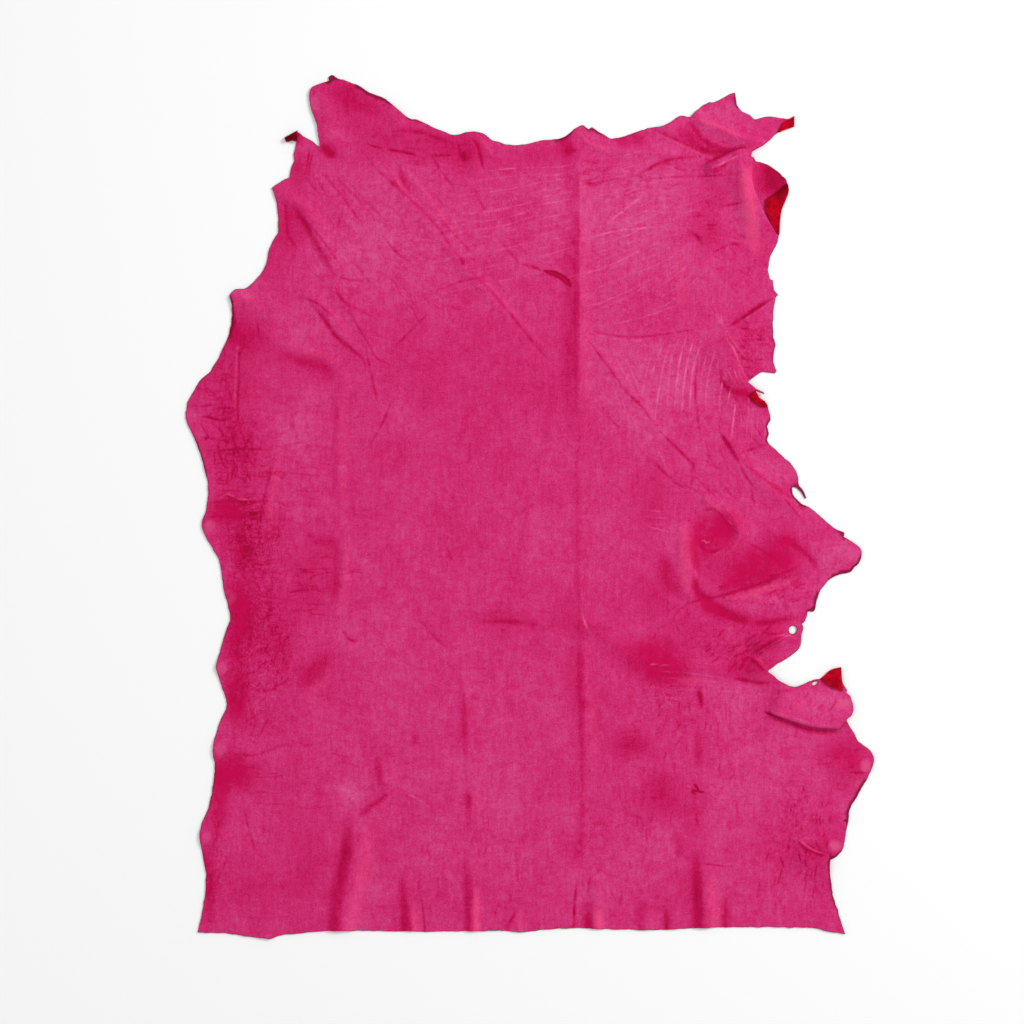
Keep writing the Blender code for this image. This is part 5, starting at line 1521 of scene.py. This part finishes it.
def fill(region, border, holes=()):
    """Cover one region of the sheet with triangles, finer where it is folded or creased."""
    loop = np.array([points[i][:2] for i in border])
    low, high = loop.min(0), loop.max(0)
    rings = [np.array([points[i][:2] for i in hole]) for hole in holes]

    def room(places):
        kept = inside(loop, places)
        for ring in rings:
            kept &= ~inside(ring, places)
        return places[kept]

    way = np.roll(loop, -1, axis=0) - np.roll(loop, 1, axis=0)
    inward = np.stack([-way[:, 1], way[:, 0]], 1) / np.linalg.norm(way, axis=1)[:, None]
    fine = hex_grid(low, high, OPEN_SPACING / 2)
    height = swell_height(fine)
    wide = np.zeros(len(fine), bool)
    for fold in FOLD.values():
        near, gap, _ = along_line(fold.line, fine, FOLD_ZONE)
        wide[near] |= gap < FOLD_ZONE
    for deep, half, _, line in pressed:
        if half > WIDE_CREASE and deep != 0:
            near, gap, _ = along_line(line, fine, CREASE_FOOT * half)
            wide[near] |= gap < CREASE_FOOT * half
    fine = fine[wide | (height > SWOLLEN)]
    open_grid = hex_grid(low, high, OPEN_SPACING)
    known = np.concatenate([loop] + rings)
    spots = thin_out(known, [
        (room(loop + inward * BESIDE_EDGE), 0.0019),
        (room(CREASE_MIDDLES), 0.0014),
        (room(CREASE_SIDES), 0.0015),
        (room(fine), 0.0031),
        (room(open_grid), 0.0048),
    ])
    groups = [list(border)] + [list(hole) for hole in holes]
    ids = [i for ring in groups for i in ring]
    edges, offset = [], 0
    for ring in groups:
        edges += [(offset + k, offset + (k + 1) % len(ring)) for k in range(len(ring))]
        offset += len(ring)
    ids += add_on(region, spots) if len(spots) else []
    flat = [Vector(points[i][:2]) for i in ids]
    made, _, triangles, origins, _, _ = delaunay_2d_cdt(flat, edges, [], 0, 1e-9)
    back = [ids[group[0]] if group else None for group in origins]
    if None in back:
        raise ValueError("the edge crosses itself in region " + region)
    tris = np.array(triangles)
    flat_made = np.array([tuple(v) for v in made])
    middle = flat_made[tris].mean(1)
    held = inside(loop, middle)
    for ring in rings:
        held &= ~inside(ring, middle)
    a, b, c = (flat_made[tris[:, k]] for k in range(3))
    turned = (b[:, 0] - a[:, 0]) * (c[:, 1] - a[:, 1]) - (b[:, 1] - a[:, 1]) * (c[:, 0] - a[:, 0])
    held &= np.abs(turned) > 1e-13
    for tri, way_up in zip(tris[held], turned[held]):
        i, j, k = (back[v] for v in tri)
        faces.append((i, j, k) if way_up > 0 else (i, k, j))


def ring_of(region, row, sides):
    """The rim of one hole."""
    across, down, long_half, short_half, lean = row
    lean = math.radians(lean)
    spots = []
    for k in range(sides):
        a = -math.tau * k / sides
        u, v = long_half * math.cos(a), short_half * math.sin(a)
        spots.append(place(across + u * math.cos(lean) + v * math.sin(lean),
                           down - u * math.sin(lean) + v * math.cos(lean)))
    return add_on(region, spots)


# Folds and turned rims first, because the regions take their borders from them.
tongue_up, tongue_low = press("tongue", "tongue", "body")
roll_up, roll_low = press("roll", "body", "flap")
ear_up, ear_low = press("ear", "body", "ear")
throat_up, throat_low = press("throat", "body", "throat")
lobe_up, lobe_low = press("lobe top", "body", "lobe")
foot_up, foot_low = press("lobe foot", "body", "lobe", start=lobe_up[0])
dart_up, dart_low = press("dart", "body", "leg")
tab_rim = turn_over("body", TURNED_TAB)
tongue_rim = turn_over("tongue", TURNED_TONGUE)
throat_rim = turn_over("body", TURNED_THROAT)
roll_rim = turn_over("flap", TURNED_ROLL)
ear_rim = turn_over("ear", TURNED_EAR)

# Stretches of the rim
tab_top = stretch("body", TORN_TAB, last=False)
left_side = stretch("body", TORN_TAB_FOOT) + stretch("body", LEFT_SHOULDER, first=False)
left_side += stretch("body", LEFT_BELLY, first=False)
foot_side = stretch("body", CUT_FOOT, first=False) + stretch("body", RIGHT_FOOT, first=False)
leg_side = stretch("body", RIGHT_LEG)
belly_side = stretch("body", RIGHT_BELLY, last=False)
thread = stretch("body", THREAD_END, first=False)
neck_side = stretch("body", RIGHT_NECK, last=False)
top_side = stretch("body", NECK, last=False)

# Seams share their points between two regions.
tongue_top = stretch("tongue", TONGUE_TOP)
seam_tongue = seam(tongue_low[0], SEAM_TONGUE, tongue_top[-1])
seam_ear = seam(ear_up[0], SEAM_EAR, top_side[0])
seam_throat = seam(throat_up[0], SEAM_THROAT, neck_side[0])
seam_lobe = seam(lobe_up[-1], SEAM_LOBE, belly_side[0])
seam_dart = seam(dart_up[0], SEAM_DART, leg_side[0])

body = tab_top + tab_rim + left_side + foot_side + dart_up[::-1] + seam_dart[1:]
body += leg_side[1:] + tongue_low[::-1] + seam_tongue[1:] + foot_up[::-1] + lobe_up[1:]
body += seam_lobe[1:] + belly_side[1:] + throat_rim + thread + throat_up[::-1]
body += seam_throat[1:] + neck_side[1:] + roll_up[::-1] + ear_up[::-1]
body += seam_ear[1:] + top_side[1:]
fill("body", body, [ring_of("body", HOLES[0], 22)])

tongue = tongue_up + stretch("tongue", TONGUE_END) + tongue_rim + tongue_top
tongue += seam_tongue[::-1][1:-1]
fill("tongue", tongue, [ring_of("tongue", HOLES[1], 14)])

lobe = foot_low + stretch("lobe", LOBE, last=False) + seam_lobe[::-1][:-1] + lobe_low[::-1][:-1]
fill("lobe", lobe)
leg = dart_low + stretch("leg", BELOW_DART, last=False) + seam_dart[::-1][:-1]
fill("leg", leg)
throat = throat_low + stretch("throat", THROAT_FLAP, last=False) + seam_throat[::-1][:-1]
fill("throat", throat)
flap = roll_low + roll_rim + stretch("flap", ROLLED_FLAP)
fill("flap", flap)
ear = ear_low + stretch("ear", EAR_UNDER) + ear_rim + stretch("ear", EAR_TOP, last=False)
ear += seam_ear[::-1][:-1]
fill("ear", ear)

# Give the sheet its thickness: grain side up, flesh side down, and a cut rim between them.
def vertex_normals(spots, tris):
    """Normals at the points, each triangle weighted by its angle there."""
    normals = np.zeros_like(spots)
    for k in range(3):
        here, ahead, behind = (spots[tris[:, (k + j) % 3]] for j in (0, 1, 2))
        one, two = ahead - here, behind - here
        one /= np.maximum(np.linalg.norm(one, axis=1), 1e-12)[:, None]
        two /= np.maximum(np.linalg.norm(two, axis=1), 1e-12)[:, None]
        wide = np.arccos(np.clip((one * two).sum(1), -1, 1))
        out = np.cross(one, two)
        out /= np.maximum(np.linalg.norm(out, axis=1), 1e-12)[:, None]
        np.add.at(normals, tris[:, k], out * wide[:, None])
    return normals / np.maximum(np.linalg.norm(normals, axis=1), 1e-12)[:, None]


RIM_BEVEL = 0.0009
RIM_ROUNDING = 0.0007
CLAMP_DENT = 0.00025
RAW_EDGE_AND_SHADE_EVERYWHERE = 0.35

spots = np.array(points)
triangles = np.array(faces)
used = np.unique(triangles)
renumber = np.zeros(len(spots), int)
renumber[used] = np.arange(len(used))
triangles = renumber[triangles]
spots = spots[used]
count = len(spots)
in_fold = np.array([int(i) in bent for i in used])
normals = vertex_normals(spots, triangles)
plan = spots[:, :2]

relief, dark, worn, crest = crease_marks(plan)
tone = np.zeros(count)
redness = np.zeros(count)
for (u, v), row in zip(spread(plan, [row[:5] for row in PATCHES]), PATCHES):
    part = bloom(u, v)
    tone += 0.55 * row[5] * part
    redness += row[6] * part
clamped = np.zeros(count)
for (u, v), row in zip(spread(plan, [row[:4] + (0,) for row in CLAMPS]), CLAMPS):
    part = 1 - smooth((np.sqrt(u * u + v * v) - 0.75) / 0.4)
    clamped = np.maximum(clamped, part * row[4])
relief -= CLAMP_DENT * clamped
crackle = np.zeros(count)
for (u, v), row in zip(spread(plan, [row[:4] + (0,) for row in CRACKLED]), CRACKLED):
    crackle = np.maximum(crackle, bloom(0.8 * u, 0.8 * v) * row[4])
relief[in_fold] = 0

# The rim: every edge that belongs to one triangle only.
pairs = np.concatenate([triangles[:, [0, 1]], triangles[:, [1, 2]], triangles[:, [2, 0]]])
known = set(map(tuple, pairs.tolist()))
rim_pairs = np.array([pair for pair in known if (pair[1], pair[0]) not in known])
rim_pairs = rim_pairs[np.lexsort((rim_pairs[:, 1], rim_pairs[:, 0]))]
rim = np.unique(rim_pairs)
way = np.zeros((count, 3))
for one, two in rim_pairs:
    step = spots[two] - spots[one]
    step /= max(np.linalg.norm(step), 1e-9)
    way[one] += step
    way[two] += step
inward = np.cross(normals[rim], way[rim])
inward /= np.maximum(np.linalg.norm(inward, axis=1), 1e-9)[:, None]

# The dark line along the rim: partly the raw cut edge, partly painted shade at the rim.
raw = np.zeros(count)
raw_edge_and_shade_here = np.full(len(rim), RAW_EDGE_AND_SHADE_EVERYWHERE)
for across, down, reach, strength in RAW_EDGE_AND_SHADE_PLACES:
    gap = np.linalg.norm(plan[rim] - np.array(place(across, down)), axis=1) / (reach * SQUARE)
    raw_edge_and_shade_here = np.maximum(raw_edge_and_shade_here, strength * (1 - smooth((gap - 0.6) / 0.6)))
raw[rim] = raw_edge_and_shade_here
beside_rim = np.zeros(count)
for k in range(3):
    for j in (1, 2):
        np.maximum.at(beside_rim, triangles[:, k], raw[triangles[:, (k + j) % 3]])
raw = np.maximum(raw, 1.3 * (beside_rim - RAW_EDGE_AND_SHADE_EVERYWHERE))
relief[rim] = 0

grain = spots + normals * (THICKNESS / 2 + relief)[:, None]
grain[rim] += inward * RIM_BEVEL
flesh = spots - normals * THICKNESS / 2
shoulder = spots[rim] + normals[rim] * (THICKNESS / 2 - RIM_ROUNDING)
on_rim = {int(v): k for k, v in enumerate(rim)}

shell = triangles.tolist() + (triangles[:, ::-1] + count).tolist()
slots = [0] * len(triangles) + [1] * len(triangles)
sharp = set()
for one, two in rim_pairs.tolist():
    upper = 2 * count + on_rim[one], 2 * count + on_rim[two]
    shell += [(two, one, upper[0]), (two, upper[0], upper[1])]
    shell += [(upper[1], upper[0], one + count), (upper[1], one + count, two + count)]
    slots += [2] * 4
    sharp.add((min(one, two), max(one, two)))
    sharp.add((min(one, two) + count, max(one, two) + count))

mesh = bpy.data.meshes.new("leather_hide")
mesh.from_pydata(np.concatenate([grain, flesh, shoulder]).tolist(), [], shell)
mesh.update()
mesh.polygons.foreach_set("use_smooth", [True] * len(mesh.polygons))
mesh.polygons.foreach_set("material_index", slots)
for edge in mesh.edges:
    if (min(edge.vertices), max(edge.vertices)) in sharp:
        edge.use_edge_sharp = True
for name, amounts in (("tone", tone), ("redness", redness), ("dark", dark), ("worn", worn),
                      ("crest", crest), ("crackle", crackle), ("raw", raw), ("clamped", clamped)):
    layer = mesh.attributes.new(name, "FLOAT", "POINT")
    layer.data.foreach_set("value", np.concatenate([amounts, amounts, amounts[rim]]))
hide = bpy.data.objects.new("leather_hide", mesh)
bpy.context.scene.collection.objects.link(hide)


class Wire:
    """One shader socket; sums and products of wires are written as plain arithmetic."""

    def __init__(self, tree, socket):
        self.tree, self.socket = tree, socket

    def node(self, kind, settings, inputs, out=0):
        return wired(self.tree, kind, settings, inputs, out)

    def sums(self, operation, *items):
        return self.node("ShaderNodeMath", {"operation": operation}, dict(enumerate(items)))

    def __add__(self, other):
        return self.sums("ADD", self, other)

    def __sub__(self, other):
        return self.sums("SUBTRACT", self, other)

    def __rsub__(self, other):
        return self.sums("SUBTRACT", other, self)

    def __mul__(self, other):
        return self.sums("MULTIPLY", self, other)

    __radd__ = __add__
    __rmul__ = __mul__

    def step(self, low, high):
        """0 below low, 1 above high, smooth between."""
        return self.node("ShaderNodeMapRange", {"interpolation_type": "SMOOTHSTEP", "clamp": True},
                         {"Value": self, "From Min": low, "From Max": high})


def wired(tree, kind, settings, inputs, out=0):
    """Make one node: its settings first, then the values or wires of its sockets."""
    node = tree.nodes.new(kind)
    for key, value in settings.items():
        if key == "stops":
            ramp = node.color_ramp
            while len(ramp.elements) < len(value):
                ramp.elements.new(0.5)
            for element, (at, colour) in zip(ramp.elements, value):
                element.position = at
                element.color = colour
        else:
            setattr(node, key, value)
    for key, value in inputs.items():
        if isinstance(value, Wire):
            tree.links.new(value.socket, node.inputs[key])
        else:
            node.inputs[key].default_value = value
    return Wire(tree, node.outputs[out])


def paint(red, green, blue):
    """A colour read as 0 to 255 on a screen, for the shader."""
    share = [v / 255 for v in (red, green, blue)]
    return tuple(v / 12.92 if v <= 0.04045 else ((v + 0.055) / 1.055) ** 2.4 for v in share) + (1.0,)


def blend(share, one, two):
    """One colour passing into another."""
    return share.node("ShaderNodeMix", {"data_type": "RGBA", "blend_type": "MIX"},
                      {0: share, 6: one, 7: two}, 2)


def noise(spot, per_metre, detail=4.0, rough=0.55, warp=0.0):
    """Soft mottling of so many spots to the metre."""
    return spot.node("ShaderNodeTexNoise", {}, {"Vector": spot, "Scale": per_metre, "Detail": detail,
                                                "Roughness": rough, "Distortion": warp}, "Fac")


def stretched(spot, across, along):
    """The same place with its sides drawn out, for streaks."""
    return spot.node("ShaderNodeVectorMath", {"operation": "MULTIPLY"},
                     {0: spot, 1: (across, along, 1.0)})


def shader(name):
    """A new material of the sheet: its nodes, its shader and the place on the leather."""
    material = bpy.data.materials.new(name)
    material.use_nodes = True
    mesh.materials.append(material)
    tree = material.node_tree
    spot = wired(tree, "ShaderNodeTexCoord", {}, {}, "Object")
    return tree, tree.nodes["Principled BSDF"], spot


def level(tree, name):
    """One of the amounts kept on the sheet's points."""
    return wired(tree, "ShaderNodeAttribute", {"attribute_name": name}, {}, "Fac")


def link(wire, leather, socket):
    """Lead a wire into the shader."""
    wire.tree.links.new(wire.socket, leather.inputs[socket])


# Grain side: matt, dyed by hand, so it is cloudy, streaked along the back and finely cracked
# where it dried fastest.
POOLED_DYE_AND_SHADE, DEEP_DYE, DYE = paint(158, 0, 48), paint(189, 9, 80), paint(203, 43, 110)
DUSTY_DYE, RUBBED_DYE = paint(208, 76, 134), paint(232, 96, 146)
CRIMSON = paint(194, 1, 75)
LIT_CREST, WORN_AND_LIT_LINE = paint(238, 76, 128), paint(236, 108, 160)
CLAMP_MARK, RAW_EDGE_AND_RIM_SHADE = paint(218, 84, 136), paint(118, 2, 38)
tree, leather, spot = shader("dyed grain")
clouds = noise(spot, 12.0, 5.0, 0.6, 0.3)
blotches = noise(spot, 55.0, 5.0, 0.65, 0.2)
mottle = noise(spot, 130.0, 4.0, 0.7, 0.4)
pores = noise(spot, 420.0, 3.0, 0.75)
streaks = noise(stretched(spot, 1.0, 0.16), 210.0, 3.0, 0.65, 0.5)
cross_streaks = noise(stretched(spot, 0.2, 1.0), 190.0, 3.0, 0.65, 0.8)


def pebbles(place_here, per_metre):
    """The grain's small pebbles: 0 in the creases between them, 1 on their tops."""
    grain_gap = place_here.node("ShaderNodeTexVoronoi", {"feature": "DISTANCE_TO_EDGE"},
                                {"Vector": place_here, "Scale": per_metre}, "Distance")
    return grain_gap.step(0.0, 0.35)


def wrinkles(place_here, per_metre, width):
    """Fine winding lines where a noise passes its middle value."""
    swirl = noise(place_here, per_metre, 1.2, 0.5, 0.7)
    return 1 - swirl.sums("ABSOLUTE", swirl - 0.5).step(0.0, width)


cracked = wrinkles(stretched(spot, 1.0, 0.7), 130.0, 0.085)
cracked = cracked.sums("MAXIMUM", cracked, wrinkles(stretched(spot, 0.45, 1.0), 150.0, 0.08) * 0.8)
crack_line = cracked * level(tree, "crackle")
pebbled = pebbles(stretched(spot, 1.0, 0.75), 520.0) * 0.6 + pebbles(spot, 230.0) * 0.4
faint_line = wrinkles(stretched(spot, 0.8, 1.0), 60.0, 0.035)
# The tone holds dye patches and the painted shade and highlight by the roll; the dark lines hold
# pooled dye and painted shade and take the ramp down to its darkest stop.
total = level(tree, "tone") * (1 + (blotches - 0.5) * 2.2 + (mottle - 0.5) * 1.2)
total = total - level(tree, "dark") * (0.9 + (mottle - 0.5) * 1.0)
total = total + (clouds - 0.5) * 0.8 + (blotches - 0.5) * 0.55 + (mottle - 0.5) * 0.75
total = total + (pores - 0.5) * 1.1 + (streaks - 0.5) * 0.6 + (cross_streaks - 0.5) * 0.3
total = total + (pebbled - 0.5) * 0.22 - crack_line * 0.5 - faint_line * 0.15 + 0.08
dye = total.node("ShaderNodeValToRGB", {"stops": (
    (0.0, POOLED_DYE_AND_SHADE), (0.25, DEEP_DYE), (0.5, DYE), (0.75, DUSTY_DYE), (1.0, RUBBED_DYE),
)}, {"Fac": total * 0.5 + 0.5})
ruffled = (mottle - 0.5) * 0.9 + (pores - 0.5) * 0.6
crimson = level(tree, "redness") * (1 + (blotches - 0.5) * 3.0 + (mottle - 0.5) * 2.0)
# Dark lines, pooled dye and painted shade alike, lean a little to crimson.
crimson = crimson + level(tree, "dark") * 0.25 + (clouds - 0.5) * 0.3
colour = blend(crimson.step(0.25, 1.15) * 0.85, dye, CRIMSON)
colour = blend((level(tree, "crest") * (0.9 + ruffled)).step(0.0, 1.2) * 0.85, colour,
               LIT_CREST)
# Growth lines and wear lines, with painted highlight along lit fold edges.
colour = blend((level(tree, "worn") * (0.9 + ruffled)).step(0.0, 1.2) * 0.85, colour,
               WORN_AND_LIT_LINE)
colour = blend(level(tree, "clamped") * 0.5, colour, CLAMP_MARK)
# Paint the dark rim line: raw cut edge and painted shade at the rim.
colour = blend(level(tree, "raw").step(0.36, 0.85) * 0.85, colour, RAW_EDGE_AND_RIM_SHADE)
link(colour, leather, "Base Color")
link(0.62 + (clouds - 0.5) * 0.2 + (pores - 0.5) * 0.1, leather, "Roughness")
height = pores * 0.00026 + blotches * 0.0006 + mottle * 0.00045 + streaks * 0.00022
height = height + pebbled * 0.00022 - crack_line * 0.0003 - faint_line * 0.00008
link(spot.node("ShaderNodeBump", {}, {"Strength": 0.9, "Distance": 1.0, "Height": height}, "Normal"),
     leather, "Normal")
leather.inputs["Specular IOR Level"].default_value = 0.18
leather.inputs["Specular Tint"].default_value = (1.0, 0.3, 0.5, 1.0)

# Flesh side: red suede, napped and a little uneven in colour.
OLD_NAP, NAP, LIT_NAP = paint(118, 0, 10), paint(190, 0, 28), paint(206, 2, 42)
DARKENED_NAP, FRAYED_AND_SHADED_NAP = paint(66, 2, 8), paint(120, 16, 40)
tree, leather, spot = shader("red suede")
nap = noise(spot, 700.0, 3.0, 0.7)
naps = noise(spot, 90.0, 4.0, 0.65)
colour = blend(naps.step(0.38, 0.62), OLD_NAP, NAP)
colour = blend((nap - 0.5) * 1.4 + 0.3, colour, LIT_NAP)
# Darker nap where the tone is low, which includes the painted shade by the roll.
darkened = level(tree, "tone") * -1.0 + (naps - 0.5) * 0.5
colour = blend(darkened.step(0.1, 0.9) * 0.8, colour, DARKENED_NAP)
# The dark rim line on the flesh side: frayed edge and painted shade at the rim.
colour = blend(level(tree, "raw") * 0.35, colour, FRAYED_AND_SHADED_NAP)
link(colour, leather, "Base Color")
link(0.88 + (nap - 0.5) * 0.15, leather, "Roughness")
link(spot.node("ShaderNodeBump", {}, {"Strength": 0.8, "Distance": 1.0,
                                      "Height": nap * 0.0003 + naps * 0.0004}, "Normal"),
     leather, "Normal")
leather.inputs["Specular IOR Level"].default_value = 0.05

# Cut rim: the fibres stand raw, dark maroon with paler threads.
RED_FIBRE, DARK_FIBRE, PALE_FIBRE = paint(140, 14, 50), paint(108, 16, 44), paint(180, 64, 96)
tree, leather, spot = shader("cut rim")
fibres = noise(spot, 900.0, 3.0, 0.7)
shades = noise(spot, 40.0, 3.0, 0.6)
colour = blend(shades.step(0.35, 0.65), RED_FIBRE, DARK_FIBRE)
colour = blend(fibres.step(0.5, 0.75) * 0.5, colour, PALE_FIBRE)
link(colour, leather, "Base Color")
leather.inputs["Roughness"].default_value = 0.9
link(spot.node("ShaderNodeBump", {}, {"Strength": 0.6, "Distance": 1.0, "Height": fibres * 0.0003},
               "Normal"), leather, "Normal")
leather.inputs["Specular IOR Level"].default_value = 0.15

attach(hide, "root")
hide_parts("hide")
